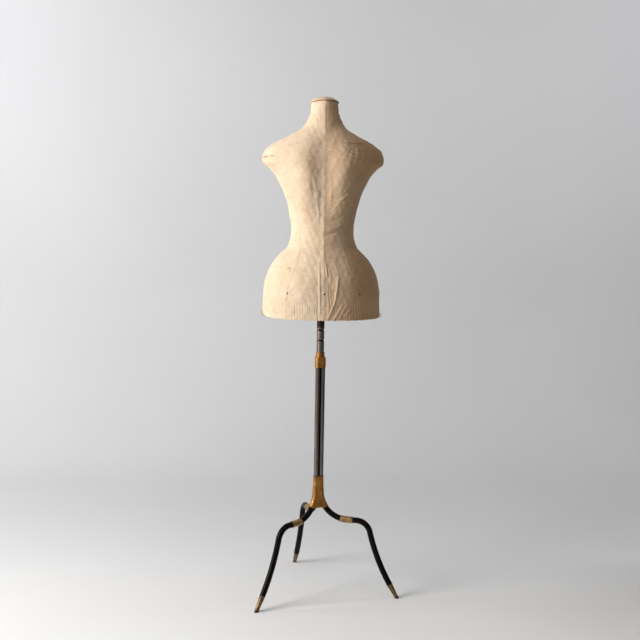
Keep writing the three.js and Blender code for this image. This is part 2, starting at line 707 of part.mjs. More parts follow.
// A point of the torso's outer face; turn is 0 at the centre back and grows towards +X.
function bodyPoint(turn, z) {
  const sideways = Math.sin(turn);
  const backwards = Math.cos(turn);
  const power = 2 / throughStations(STATIONS, 'square', z);
  const depth = throughStations(STATIONS, backwards > 0 ? 'back' : 'front', z);
  const x = throughStations(STATIONS, 'half', z) * Math.sign(sideways) * Math.abs(sideways) ** power;
  let y = depth * Math.sign(backwards) * Math.abs(backwards) ** power;
  const facing = smooth(0, 0.5, Math.abs(backwards));      // bumps fade out towards the sides
  for (const bump of BUMPS) {
    if (Math.sign(backwards) === bump.side) {
      const lift = bell(Math.abs(x) - bump.x, bump.wide) * bell(z - bump.z, bump.high);
      y += bump.side * bump.out * lift * facing;
    }
  }
  for (const hollow of HOLLOWS) {
    if (backwards > 0) y -= hollow.depth * bell(x, hollow.wide) * bell(z - hollow.z, hollow.high);
  }
  const outwards = Math.max(0, Math.abs(x) - SWEEP.fromX) / SWEEP.reach;
  const grown = smooth(SWEEP_LOW.from, SWEEP_LOW.to, z) - smooth(SWEEP_HIGH.from, SWEEP_HIGH.to, z);
  y -= SWEEP.depth * outwards ** SWEEP.power * grown;
  const tilt = Math.tan(NECK_SLANT) * smooth(NECK_SLANT_FROM_Z, NECK_TOP_Z, z);
  return new THREE.Vector3(x, y, z + y * tilt);
}

// The same point moved inwards along the surface normal.
function bodyPointInside(turn, z, inset) {
  const step = 0.004;
  const high = Math.min(z + 1, NECK_TOP_Z);
  const low = Math.max(z - 1, HEM_Z);
  const along = bodyPoint(turn + step, z).sub(bodyPoint(turn - step, z));
  const up = bodyPoint(turn, high).sub(bodyPoint(turn, low));
  const inwards = along.cross(up).normalize();
  return bodyPoint(turn, z).addScaledVector(inwards, inset);
}

// Where a column lies round the section: the panels' seams are shared by all rows.
function columnTurn(column, z) {
  const seam = throughStations(SEAM_STATIONS, 'turn', z) * RAD;
  const quarter = Math.PI / 2;
  const stops = [0, seam, quarter, 2 * quarter - seam, 2 * quarter];
  const half = COLUMNS / 2;
  const along = column <= half ? column : COLUMNS - column;
  const panel = Math.min(3, Math.floor(along / COLUMNS_PER_PANEL));
  const share = along / COLUMNS_PER_PANEL - panel;
  const turn = mix(stops[panel], stops[panel + 1], share);
  return column <= half ? turn : -turn;
}

const ROWS = [HEM_Z];
for (const zone of ROW_ZONES) {
  const start = ROWS[ROWS.length - 1];
  for (let i = 1; i <= zone.steps; i += 1) ROWS.push(mix(start, zone.top, i / zone.steps));
}

function gridLayer(inset) {
  return ROWS.map((z) => {
    const ring = [];
    for (let column = 0; column < COLUMNS; column += 1) {
      ring.push(bodyPointInside(columnTurn(column, z), z, inset));
    }
    return ring;
  });
}

// A closed sheet with thickness over the cells that belong to it. Its edge is drawn back a
// little towards its own cells, which leaves the gap between neighbouring sheets.
function sheetOver(belongs, outerLayer, innerLayer, edgeInset) {
  const cells = [];
  const owned = new Set();
  for (let row = 0; row < ROWS.length - 1; row += 1) {
    for (let column = 0; column < COLUMNS; column += 1) {
      if (belongs(column, row)) {
        cells.push([column, row]);
        owned.add(`${column},${row}`);
      }
    }
  }
  const has = (column, row) => owned.has(`${(column + COLUMNS) % COLUMNS},${row}`);
  const corner = (column, row) => [(column + COLUMNS) % COLUMNS, row];
  const points = [];
  const known = new Map();
  const pointOf = (layer, [column, row], side) => {
    const key = `${side},${column},${row}`;
    if (known.has(key)) return known.get(key);
    const around = [[-1, -1], [0, -1], [0, 0], [-1, 0]].filter(([i, j]) => has(column + i, row + j));
    const position = layer[row][column].clone();
    if (around.length < 4) {
      const towards = new THREE.Vector3();
      for (const [i, j] of around) {
        for (const [di, dj] of [[0, 0], [1, 0], [0, 1], [1, 1]]) {
          const [c, r] = corner(column + i + di, row + j + dj);
          towards.add(layer[r][c]).sub(layer[row][column]);
        }
      }
      position.addScaledVector(towards.normalize(), edgeInset);
    }
    points.push(position);
    known.set(key, points.length - 1);
    return points.length - 1;
  };
  const triangles = [];
  const quad = (a, b, c, d) => triangles.push([a, b, c], [a, c, d]);
  for (const [column, row] of cells) {
    const ring = [[0, 0], [1, 0], [1, 1], [0, 1]].map(([i, j]) => corner(column + i, row + j));
    const out = ring.map((at) => pointOf(outerLayer, at, 'out'));
    const inn = ring.map((at) => pointOf(innerLayer, at, 'in'));
    quad(out[0], out[1], out[2], out[3]);
    triangles.push([inn[0], inn[2], inn[1]], [inn[0], inn[3], inn[2]]);
    const beside = [[0, -1], [1, 0], [0, 1], [-1, 0]];
    beside.forEach(([i, j], from) => {
      const to = (from + 1) % 4;
      if (!has(column + i, row + j)) quad(out[to], out[from], inn[from], inn[to]);
    });
  }
  return closedBody(points, triangles);
}

const coverOut = gridLayer(0);
const coverIn = gridLayer(CANVAS_THICKNESS);
const shellOut = gridLayer(CANVAS_THICKNESS + SHELL_GAP);
const shellIn = gridLayer(CANVAS_THICKNESS + SHELL_GAP + SHELL_THICKNESS);
const rowAt = (height) => ROWS.findIndex((z) => Math.abs(z - height) < 1e-6);
const ARM_LOW_ROW = rowAt(ARM_PLATE_LOW_Z);
const ARM_HIGH_ROW = rowAt(ARM_PLATE_HIGH_Z);

// The panel that a cell belongs to, counted from the centre back; the form's own left is +X.
function panelOf(column, row) {
  const onLeft = column < COLUMNS / 2;
  const along = onLeft ? column : COLUMNS - 1 - column;
  const side = onLeft ? 'left' : 'right';
  const fromBack = along < COLUMNS / 4;
  const fromCentre = fromBack ? along : COLUMNS / 2 - 1 - along;
  const face = fromBack ? 'back' : 'front';
  if (row >= ARM_LOW_ROW && row < ARM_HIGH_ROW && fromCentre >= COLUMNS_PER_PANEL) return `arm_plate_${side}`;
  if (row < ARM_LOW_ROW && fromCentre >= COLUMNS_PER_PANEL) return `cover_side_${face}_${side}`;
  return `cover_centre_${face}_${side}`;
}

// ---- torso fittings ----

// A tack standing on the torso at a column of the grid, with its shank pointing inwards.
function tackPlace(column) {
  const turn = columnTurn(column, TACK_Z);
  const outside = bodyPoint(turn, TACK_Z);
  const inwards = bodyPointInside(turn, TACK_Z, 1).sub(outside);
  const place = new THREE.Matrix4().makeTranslation(outside.x, outside.y, outside.z);
  const spin = new THREE.Quaternion().setFromUnitVectors(new THREE.Vector3(0, 0, -1), inwards.normalize());
  return place.multiply(new THREE.Matrix4().makeRotationFromQuaternion(spin));
}

const TACK_HEAD_R = 3.4;
const TACK_SHANK_R = 0.9;
const TACK_FIT = 0.5;
const TACK_SHANK_LENGTH = 15;

function tack() {
  return turned([
    [0, -TACK_SHANK_LENGTH],
    [TACK_SHANK_R, -TACK_SHANK_LENGTH + 3],
    [TACK_SHANK_R, GAP],
    [TACK_HEAD_R, GAP],
    [TACK_HEAD_R * 0.72, 1.3],
    [0, 1.8],
  ], 10);
}

function tackHoles() {
  return TACK_COLUMNS.map((column) => {
    const hole = uprightCylinder(TACK_SHANK_R + TACK_FIT, -TACK_SHANK_LENGTH - 1.5, 4, 10);
    hole.applyMatrix4(tackPlace(column));
    return hole;
  });
}

function baseBoard(holes) {
  const outline = [];
  for (let column = 0; column < COLUMNS; column += 1) {
    const at = bodyPointInside(columnTurn(column, BOARD_Z), BOARD_Z, BOARD_INSET);
    outline.push(new THREE.Vector2(at.x, at.y));
  }
  const board = new THREE.ExtrudeGeometry(new THREE.Shape(outline), {
    depth: BOARD_THICKNESS, bevelEnabled: false,
  });
  board.translate(0, 0, BOARD_BOTTOM_Z);
  return cut(board, [
    uprightCylinder(SLEEVE_R + 0.6, BOARD_BOTTOM_Z - 5, BOARD_TOP_Z + 5, 32),
    ...holes,
  ]);
}

const FLANGE_R = 46;
const SCREW_CIRCLE_R = 36;
const SCREW_R = 2.2;
const SCREW_LENGTH = 14;
const SCREW_HEAD_R = 4.4;
const SCREW_FIT = 0.4;
const FLANGE_TOP_Z = BOARD_BOTTOM_Z - GAP;
const screwTurns = [0, 1, 2, 3].map((i) => (45 + 90 * i) * RAD);

function screwAt(turn, geometry) {
  const placed = geometry.clone();
  placed.translate(SCREW_CIRCLE_R * Math.cos(turn), SCREW_CIRCLE_R * Math.sin(turn), 0);
  return placed;
}

// The iron flange turns on the sleeve and rests on its shoulder.
function swivelFlange() {
  const plate = uprightCylinder(FLANGE_R, FLANGE_TOP_Z - FLANGE_THICKNESS, FLANGE_TOP_Z, 40);
  const hole = uprightCylinder(SCREW_R + SCREW_FIT, FLANGE_TOP_Z - 10, FLANGE_TOP_Z + 5, 10);
  return cut(plate, [
    uprightCylinder(SLEEVE_R + 0.5, FLANGE_TOP_Z - 20, FLANGE_TOP_Z + 5, 32),
    ...screwTurns.map((turn) => screwAt(turn, hole)),
  ]);
}

function flangeScrew() {
  const under = FLANGE_TOP_Z - FLANGE_THICKNESS - GAP;
  return turned([
    [0, under - 2],
    [SCREW_HEAD_R - 1.8, under - 2],
    [SCREW_HEAD_R, under - 0.8],
    [SCREW_HEAD_R, under],
    [SCREW_R, under],
    [SCREW_R, under + SCREW_LENGTH - 3],
    [0, under + SCREW_LENGTH],
  ], 12);
}

function screwPilotHoles() {
  const pilot = uprightCylinder(SCREW_R + SCREW_FIT, BOARD_BOTTOM_Z - 5, FLANGE_TOP_Z + SCREW_LENGTH - 3, 10);
  return screwTurns.map((turn) => screwAt(turn, pilot));
}

// Round pieces of the neck, all square to its slanting top.
const NECK_TOP = STATIONS[STATIONS.length - 1];
const NECK_Y = (NECK_TOP.back - NECK_TOP.front) / 2;
const NECK_R = NECK_TOP.half;
const NECK_SEGMENTS = 32;
const BAND_LOW = 0.7;                  // heights above the cover's top edge
const BAND_HIGH = 2.1;

function onNeck(geometry) {
  geometry.rotateX(NECK_SLANT);
  geometry.translate(0, NECK_Y, NECK_TOP_Z + NECK_Y * Math.tan(NECK_SLANT));
  return geometry;
}

function neckPlug() {
  const radius = NECK_R - CANVAS_THICKNESS - SHELL_THICKNESS - 2;
  const depth = 24;
  const profile = [[0, -depth], [radius - 1, -depth], [radius, 2 - depth], [radius, GAP], [0, GAP]];
  return onNeck(turned(profile, NECK_SEGMENTS));
}

// A thin disc that shows as a dark line between the cover and the cap.
function neckBand() {
  const edge = NECK_R - 0.3;
  return onNeck(turned([
    [0, BAND_LOW],
    [edge, BAND_LOW],
    [NECK_R + 0.4, mix(BAND_LOW, BAND_HIGH, 0.5)],
    [edge, BAND_HIGH],
    [0, BAND_HIGH],
  ], NECK_SEGMENTS));
}

// A disc with a rounded rim and a shallow dome, which is an arc in section.
function neckCap() {
  const bottom = BAND_HIGH + 0.4;
  const domeBottom = bottom + 3;
  const domeHeight = 16;
  const radius = NECK_R + 2.2;
  const domeR = radius - 0.6;
  const arcR = (domeR ** 2 + domeHeight ** 2) / (2 * domeHeight);
  const arcCentreZ = domeBottom + domeHeight - arcR;
  const profile = [[0, bottom], [radius - 1, bottom], [radius, bottom + 1.2], [radius, domeBottom - 0.6]];
  const steps = 7;
  for (let i = 0; i < steps; i += 1) {
    const turn = Math.asin(domeR / arcR) * (1 - i / steps);
    profile.push([arcR * Math.sin(turn), arcCentreZ + arcR * Math.cos(turn)]);
  }
  profile.push([0, domeBottom + domeHeight]);
  return onNeck(turned(profile, NECK_SEGMENTS));
}

// ---- assembly ----

LEG_TURNS.forEach((turn, i) => {
  addPiece(`post_rod_${i + 1}`, atLeg(upperRod(), turn), looks.darkSteel);
  addPiece(`leg_ferrule_${i + 1}`, atLeg(ferrule(), turn), looks.brass);
  addPiece(`shin_rod_${i + 1}`, atLeg(shinRod(), turn), looks.darkSteel);
  addPiece(`foot_tip_${i + 1}`, atLeg(footTip(), turn), looks.brass);
});
addPiece('hub_casting', hubCasting(), looks.brass);
addPiece('top_collar', topCollar(), looks.brass);
addPiece('pole', pole(), looks.steel);

addPiece('slide_sleeve', slideSleeve(), looks.brass);
addPiece('sleeve_nut', sleeveNut(), looks.brass);
addPiece('catch_pin', catchPin(), looks.steel);
addPiece('catch_spring', catchSpring(), looks.steel);
addPiece('catch_lever', catchLever(), looks.iron);

const holes = tackHoles();
addPiece('base_board', cut(baseBoard(holes), screwPilotHoles()), looks.wood);
addPiece('swivel_flange', swivelFlange(), looks.iron);
screwTurns.forEach((turn, i) => {
  addPiece(`flange_screw_${i + 1}`, screwAt(turn, flangeScrew()), looks.steel);
});

const SHELL_EDGE_INSET = 0.3;
const PANEL_EDGE_INSET = 0.25;
const inBack = (column) => column < COLUMNS / 4 || column >= (3 * COLUMNS) / 4;
const shellBack = sheetOver((column) => inBack(column), shellOut, shellIn, SHELL_EDGE_INSET);
const shellFront = sheetOver((column) => !inBack(column), shellOut, shellIn, SHELL_EDGE_INSET);
addPiece('shell_back', cut(shellBack, holes), looks.shell);
addPiece('shell_front', cut(shellFront, holes), looks.shell);

const panelNames = [];
for (const face of ['back', 'front']) {
  for (const side of ['left', 'right']) {
    panelNames.push(`cover_centre_${face}_${side}`, `cover_side_${face}_${side}`);
  }
}
panelNames.push('arm_plate_left', 'arm_plate_right');
for (const name of panelNames) {
  const belongs = (column, row) => panelOf(column, row) === name;
  const panel = sheetOver(belongs, coverOut, coverIn, PANEL_EDGE_INSET);
  addPiece(name, name.startsWith('cover') ? cut(panel, holes) : panel, looks.canvas);
}

TACK_COLUMNS.forEach((column, i) => {
  const placed = tack();
  placed.applyMatrix4(tackPlace(column));
  addPiece(`tack_${i + 1}`, placed, looks.iron);
});
addPiece('neck_plug', neckPlug(), looks.wood);
addPiece('neck_band', neckBand(), looks.band);
addPiece('neck_cap', neckCap(), looks.canvas);

// The whole is moved so that the origin is the centre of the bounding box's bottom face.
group.updateMatrixWorld(true);
const bounds = new THREE.Box3().setFromObject(group);
const middle = bounds.getCenter(new THREE.Vector3());
for (const mesh of group.children) {
  mesh.geometry.translate(-middle.x, -middle.y, -bounds.min.z);
}

export default group;
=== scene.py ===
import math

import bmesh
import bpy
import numpy as np
from mathutils import Matrix, Vector


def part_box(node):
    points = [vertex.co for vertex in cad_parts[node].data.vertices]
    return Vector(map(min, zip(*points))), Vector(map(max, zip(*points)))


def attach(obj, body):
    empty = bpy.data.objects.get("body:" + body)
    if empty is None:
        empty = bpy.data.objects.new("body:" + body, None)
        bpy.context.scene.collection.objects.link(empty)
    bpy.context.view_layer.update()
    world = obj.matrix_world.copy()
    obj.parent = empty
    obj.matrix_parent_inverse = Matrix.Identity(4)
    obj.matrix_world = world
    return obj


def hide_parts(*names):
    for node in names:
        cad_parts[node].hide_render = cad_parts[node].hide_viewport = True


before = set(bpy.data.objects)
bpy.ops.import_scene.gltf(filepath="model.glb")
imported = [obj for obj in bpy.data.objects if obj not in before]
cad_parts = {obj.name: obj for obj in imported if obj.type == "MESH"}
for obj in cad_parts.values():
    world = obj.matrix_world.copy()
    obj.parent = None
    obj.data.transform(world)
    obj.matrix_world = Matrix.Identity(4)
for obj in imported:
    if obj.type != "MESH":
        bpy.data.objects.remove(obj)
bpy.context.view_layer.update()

MM = 0.001
POLE_LOW, POLE_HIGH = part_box("pole")
AXIS = np.array([(POLE_LOW.x + POLE_HIGH.x) / 2, (POLE_LOW.y + POLE_HIGH.y) / 2, 0.0])

# ---- driving dimensions of the stand ----
ROD_R = 7.8                            # the rods where they form the post
LEG_R = 9.3                            # the same rods below the hub
ROD_SPACING = 16.1
ROD_CIRCLE_R = ROD_SPACING / math.sqrt(3)
LEG_TURNS = [46.7, -73.3, 166.7]       # each leg's direction, from +Y towards +X
ANKLE_Z = 242.8
HIP_BEND_R = 87
LEVEL_LENGTH = 33
KNEE_BEND_R = 45
KNEE_TURN = math.radians(76)
SHIN_BEND_R = 630
POST_TOP_Z = 749
HUB_TOP_Z = 380
HUB_BOTTOM_Z = 279.5
COLLAR_BOTTOM_Z = 730.5
COLLAR_TOP_Z = 780
COLLAR_SHOULDER_LOW_Z = 759
COLLAR_SHOULDER_HIGH_Z = 769
COLLAR_RING_R = 13.6
COLLAR_BODY_R = 18.4
FERRULE_R = 10.6
FERRULE_LENGTH = 41
FERRULE_ON_BEND = 20
TIP_LENGTH = 50
TIP_TOP_R = 8.9
TIP_END_R = 5.6
POLE_R = 12
POLE_BOTTOM_Z = 753
POLE_TOP_Z = 1112
NOTCH_PITCH = 32.4
NOTCH_FIRST_Z = 817.7
NOTCH_COUNT = 7
NOTCH_DEPTH = 2.2
NOTCH_HALF_WIDTH = 2.6
GAP = 0.3

# ---- driving dimensions of the torso ----
HEM_Z = 894.5
BOARD_Z = 970
BOARD_THICKNESS = 18
NECK_TOP_Z = 1551
NECK_SLANT = math.radians(7.5)
NECK_SLANT_FROM_Z = 1478
CANVAS_THICKNESS = 1.2
SHELL_GAP = 0.4
SHELL_THICKNESS = 5
SLEEVE_R = 16
ARM_PLATE_LOW_Z = 1322
ARM_PLATE_HIGH_Z = 1371
TACK_Z = 975

# Height, half width, depth to the back, depth to the front and roundness of each section.
STATIONS = np.array([
    (894.5, 184, 136, 121, 2.2),
    (970, 182, 141, 119, 2.2),
    (1008, 176.5, 140, 116, 2.15),
    (1046, 162.6, 131, 109, 2.1),
    (1084, 136, 113, 100, 2.05),
    (1115, 106.6, 97, 91, 2.0),
    (1159, 96.6, 88, 86, 2.0),
    (1210, 103.2, 90, 96, 2.05),
    (1260, 115.1, 97, 112, 2.1),
    (1308, 136.4, 103, 121, 2.15),
    (1333, 150.6, 104.5, 119, 2.2),
    (1356, 171.5, 103.5, 113, 2.3),
    (1370, 188, 102, 108, 2.35),
    (1382, 190, 99, 102, 2.35),
    (1406, 183.6, 93, 88, 2.3),
    (1430, 154.8, 84, 73, 2.2),
    (1454, 107.6, 74, 62, 2.1),
    (1479, 67, 62, 53, 2.0),
    (1502, 51.9, 54.5, 48, 2.0),
    (1527, 42.9, 47.5, 44, 2.0),
    (1551, 41.8, 43, 41.5, 2.0),
])
STATION_Z, HALF, BACK, FRONT, SQUARE = STATIONS.T

# Turn of the side-back seam from the centre back, in degrees, by height.
SEAM_Z = np.array([894.5, 980, 1022, 1066, 1100, 1130, 1165, 1260, 1322, 1551])
SEAM_TURN = np.array([35, 35, 33, 31, 36.5, 43.5, 48, 56, 66, 66])

# Smooth bumps: side of the body, x, height, half width, half height and how far they stand out.
BUMPS = [
    (-1, 64, 1296, 56, 50, 21),
    (1, 72, 1350, 40, 70, 5),
    (1, 62, 985, 70, 62, 7),
]
# Hollows down the middle of the back: height, half width, half height and depth.
HOLLOWS = [
    (1262, 40, 75, 13),
    (1375, 40, 70, 8),
]
# The shoulders sweep forward beyond SWEEP_FROM_X, by SWEEP_DEPTH at SWEEP_REACH further out.
SWEEP_FROM_X, SWEEP_REACH, SWEEP_DEPTH, SWEEP_POWER = 50, 140, 26, 1.3
SWEEP_LOW = (1240, 1300)               # heights where the sweep grows
SWEEP_HIGH = (1460, 1500)              # and where it fades out again


# ---- small maths ----
def mix(a, b, share):
    return a + (b - a) * share


def smooth(low, high, value):
    share = np.clip((value - low) / (high - low), 0, 1)
    return share * share * (3 - 2 * share)


def within(start, full, still_full, end, value):
    """1 between full and still_full, fading to 0 at start and at end."""
    return smooth(start, full, value) * smooth(end, still_full, value)


def bell(distance, width):
    return np.exp(-((distance / width) ** 2))


def through(stations, values, z):
    """A monotone cubic through stations, for an array of heights."""
    slope = np.diff(values) / np.diff(stations)
    tangent = np.empty(len(values))
    tangent[0], tangent[-1] = slope[0], slope[-1]
    before, after = slope[:-1], slope[1:]
    same_way = before * after > 0
    tangent[1:-1] = np.where(same_way, 2 * before * after / np.where(same_way, before + after, 1), 0)
    z = np.clip(z, stations[0], stations[-1])
    i = np.clip(np.searchsorted(stations, z, side="right") - 1, 0, len(stations) - 2)
    span = (stations[1:] - stations[:-1])[i]
    t = (z - stations[i]) / span
    return ((2 * t**3 - 3 * t**2 + 1) * values[i] + (t**3 - 2 * t**2 + t) * span * tangent[i]
            + (3 * t**2 - 2 * t**3) * values[i + 1] + (t**3 - t**2) * span * tangent[i + 1])


def waves(a, b, pitch, seed, count=7):
    """An even, wandering pattern of about the given pitch, from -1 to 1: sines in seeded directions."""
    rng = np.random.default_rng(seed)
    total = 0
    for _ in range(count):
        way = rng.uniform(0, 2 * math.pi)
        length = pitch * rng.uniform(0.7, 1.5)
        phase = rng.uniform(0, 2 * math.pi)
        total = total + np.sin(2 * math.pi * (a * math.cos(way) + b * math.sin(way)) / length + phase)
    return total / math.sqrt(2 * count)


# ---- mesh making ----
def place(points):
    """Millimetres about the post's axis to the frame's metres."""
    return np.asarray(points, float) * MM + AXIS


def make_object(name, points, faces, material, body, smooth_faces=True):
    """A closed body that rides on a frame body, its faces turned outwards."""
    mesh = bpy.data.meshes.new(name)
    faces = [list(map(int, f)) for f in facing_out(points, faces)]
    mesh.from_pydata(place(points).tolist(), [], faces)
    mesh.polygons.foreach_set("use_smooth", [smooth_faces] * len(mesh.polygons))
    mesh.update()
    mesh.materials.append(material)
    obj = bpy.data.objects.new(name, mesh)
    bpy.context.scene.collection.objects.link(obj)
    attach(obj, body)
    return obj


def shade_sheet(obj, outer_normals, faces_per_side):
    """Shades a sheet's two faces with the normals of the whole surface that it is cut from, so that
    no seam shows where two sheets meet, and its rim flat."""
    mesh = obj.data
    normals = np.empty((len(mesh.loops), 3))
    count = len(outer_normals)
    for polygon in mesh.polygons:
        for loop in polygon.loop_indices:
            vertex = mesh.loops[loop].vertex_index
            if polygon.index >= 2 * faces_per_side:
                normals[loop] = polygon.normal
            elif vertex < count:
                normals[loop] = outer_normals[vertex]
            else:
                normals[loop] = -outer_normals[vertex - count]
    mesh.normals_split_custom_set(normals.tolist())


def set_attribute(obj, name, values):
    """A number at each vertex that a material can read."""
    layer = obj.data.attributes.new(name, "FLOAT", "POINT")
    layer.data.foreach_set("value", np.asarray(values, np.float32))


def set_vector(obj, name, values):
    layer = obj.data.attributes.new(name, "FLOAT_VECTOR", "POINT")
    layer.data.foreach_set("vector", np.asarray(values, np.float32).ravel())


def loft(rings, loop=False):
    """Points and faces of a skin over rings of equal length; open ends are closed with a fan."""
    rings = np.asarray(rings, float)
    count = rings.shape[1]
    points = rings.reshape(-1, 3).tolist()
    faces = []
    for i in range(len(rings) if loop else len(rings) - 1):
        low, high = i * count, ((i + 1) % len(rings)) * count
        for j in range(count):
            k = (j + 1) % count
            faces.append((low + j, low + k, high + k, high + j))
    if not loop:
        for start, ring, flip in ((0, rings[0], True), ((len(rings) - 1) * count, rings[-1], False)):
            points.append(ring.mean(axis=0).tolist())
            centre = len(points) - 1
            for j in range(count):
                k = (j + 1) % count
                edge = (start + k, start + j) if flip else (start + j, start + k)
                faces.append((centre, *edge))
    return np.array(points), faces


def facing_out(points, faces):
    """The same faces, turned round if the closed body is inside out."""
    volume = 0.0
    for face in faces:
        a = points[face[0]]
        for i in range(1, len(face) - 1):
            volume += np.dot(a, np.cross(points[face[i]], points[face[i + 1]]))
    return faces if volume > 0 else [tuple(reversed(f)) for f in faces]


def lathe(profile, segments):
    """Rings of a body turned round the post's axis, from (radius, height) pairs."""
    turns = np.arange(segments) * 2 * math.pi / segments
    circle = np.stack([np.cos(turns), np.sin(turns)], axis=1)
    return [np.column_stack([r * circle, np.full(segments, z)]) for r, z in profile]


# ---- legs ----
HIP_R = ROD_CIRCLE_R + HIP_BEND_R
HIP_Z = ANKLE_Z + HIP_BEND_R
POST_LENGTH = POST_TOP_Z - HIP_Z
HIP_LENGTH = HIP_BEND_R * math.pi / 2
KNEE_START = POST_LENGTH + HIP_LENGTH + LEVEL_LENGTH
SHIN_START = KNEE_START + KNEE_BEND_R * KNEE_TURN
SHIN_TOP_R = HIP_R + LEVEL_LENGTH + KNEE_BEND_R * math.sin(KNEE_TURN)
SHIN_TOP_Z = ANKLE_Z - KNEE_BEND_R + KNEE_BEND_R * math.cos(KNEE_TURN)
SHIN_LEAN = math.pi / 2 - KNEE_TURN
SHIN_LEAN_AT_FLOOR = math.asin(math.sin(SHIN_LEAN) + SHIN_TOP_Z / SHIN_BEND_R)
LEG_LENGTH = SHIN_START + SHIN_BEND_R * (SHIN_LEAN_AT_FLOOR - SHIN_LEAN)
FERRULE_START = POST_LENGTH + HIP_LENGTH - FERRULE_ON_BEND
FERRULE_END = FERRULE_START + FERRULE_LENGTH
TIP_START = LEG_LENGTH - TIP_LENGTH


def leg_at(s):
    """Radius, height and lean of a leg's centre line at a length s from the top of the post."""
    if s < POST_LENGTH:
        return ROD_CIRCLE_R, POST_TOP_Z - s, 0.0
    if s < POST_LENGTH + HIP_LENGTH:
        turn = (s - POST_LENGTH) / HIP_BEND_R
        return HIP_R - HIP_BEND_R * math.cos(turn), HIP_Z - HIP_BEND_R * math.sin(turn), turn
    if s < KNEE_START:
        return HIP_R + s - POST_LENGTH - HIP_LENGTH, ANKLE_Z, math.pi / 2
    if s < SHIN_START:
        turn = (s - KNEE_START) / KNEE_BEND_R
        return (HIP_R + LEVEL_LENGTH + KNEE_BEND_R * math.sin(turn),
                ANKLE_Z - KNEE_BEND_R + KNEE_BEND_R * math.cos(turn), math.pi / 2 - turn)
    lean = SHIN_LEAN + (s - SHIN_START) / SHIN_BEND_R
    return (SHIN_TOP_R + SHIN_BEND_R * (math.cos(SHIN_LEAN) - math.cos(lean)),
            SHIN_TOP_Z - SHIN_BEND_R * (math.sin(lean) - math.sin(SHIN_LEAN)), lean)


def leg_radius(s):
    """The rods swell inside the hub, from the post's radius to the legs'."""
    return mix(ROD_R, LEG_R, smooth(POST_LENGTH + 6, POST_LENGTH + 34, s))


def leg_ring(s, radius, segments):
    """A circle square to a leg's centre line."""
    r, z, lean = leg_at(s)
    turn = np.arange(segments) * 2 * math.pi / segments
    out = radius * np.cos(turn)
    return np.stack([r + out * math.cos(lean), radius * np.sin(turn), z + out * math.sin(lean)], axis=1)


def at_leg(points, turn_degrees):
    """Turns points from the XZ plane to a leg's own upright plane."""
    way = math.pi / 2 - math.radians(turn_degrees)
    c, s = math.cos(way), math.sin(way)
    points = np.asarray(points)
    return np.stack([points[..., 0] * c - points[..., 1] * s, points[..., 0] * s + points[..., 1] * c,
                     points[..., 2]], axis=-1)


def leg_body(sections, turn, segments=32):
    """A closed body along a leg from (length, radius) pairs, with the length kept for each vertex."""
    points, faces = loft([leg_ring(s, r, segments) for s, r in sections])
    lengths = np.repeat([s for s, _ in sections], segments)
    lengths = np.append(lengths, [sections[0][0], sections[-1][0]])
    points = at_leg(points, turn)
    return points, facing_out(points, faces), lengths


def lengths_between(start, end, step):
    """Even lengths from start to end, about a step apart."""
    count = max(2, int(round((end - start) / step)) + 1)
    return np.linspace(start, end, count)


def rounded_bar(start, end, radius_at, step, edge=0.6):
    """Sections of a bar whose two ends are slightly rounded."""
    middle = [(s, radius_at(s)) for s in lengths_between(start + edge, end - edge, step)]
    first, last = middle[0][1], middle[-1][1]
    return [(start, first - edge), (start + edge * 0.3, first - edge * 0.3)] + middle + [
        (end - edge * 0.3, last - edge * 0.3), (end, last - edge)]


def near_lengths(lengths, marks, reach):
    """1 at the marked lengths, falling to 0 at the reach on either side."""
    return np.max([np.clip(1 - np.abs(lengths - m) / reach, 0, 1) for m in marks], axis=0)


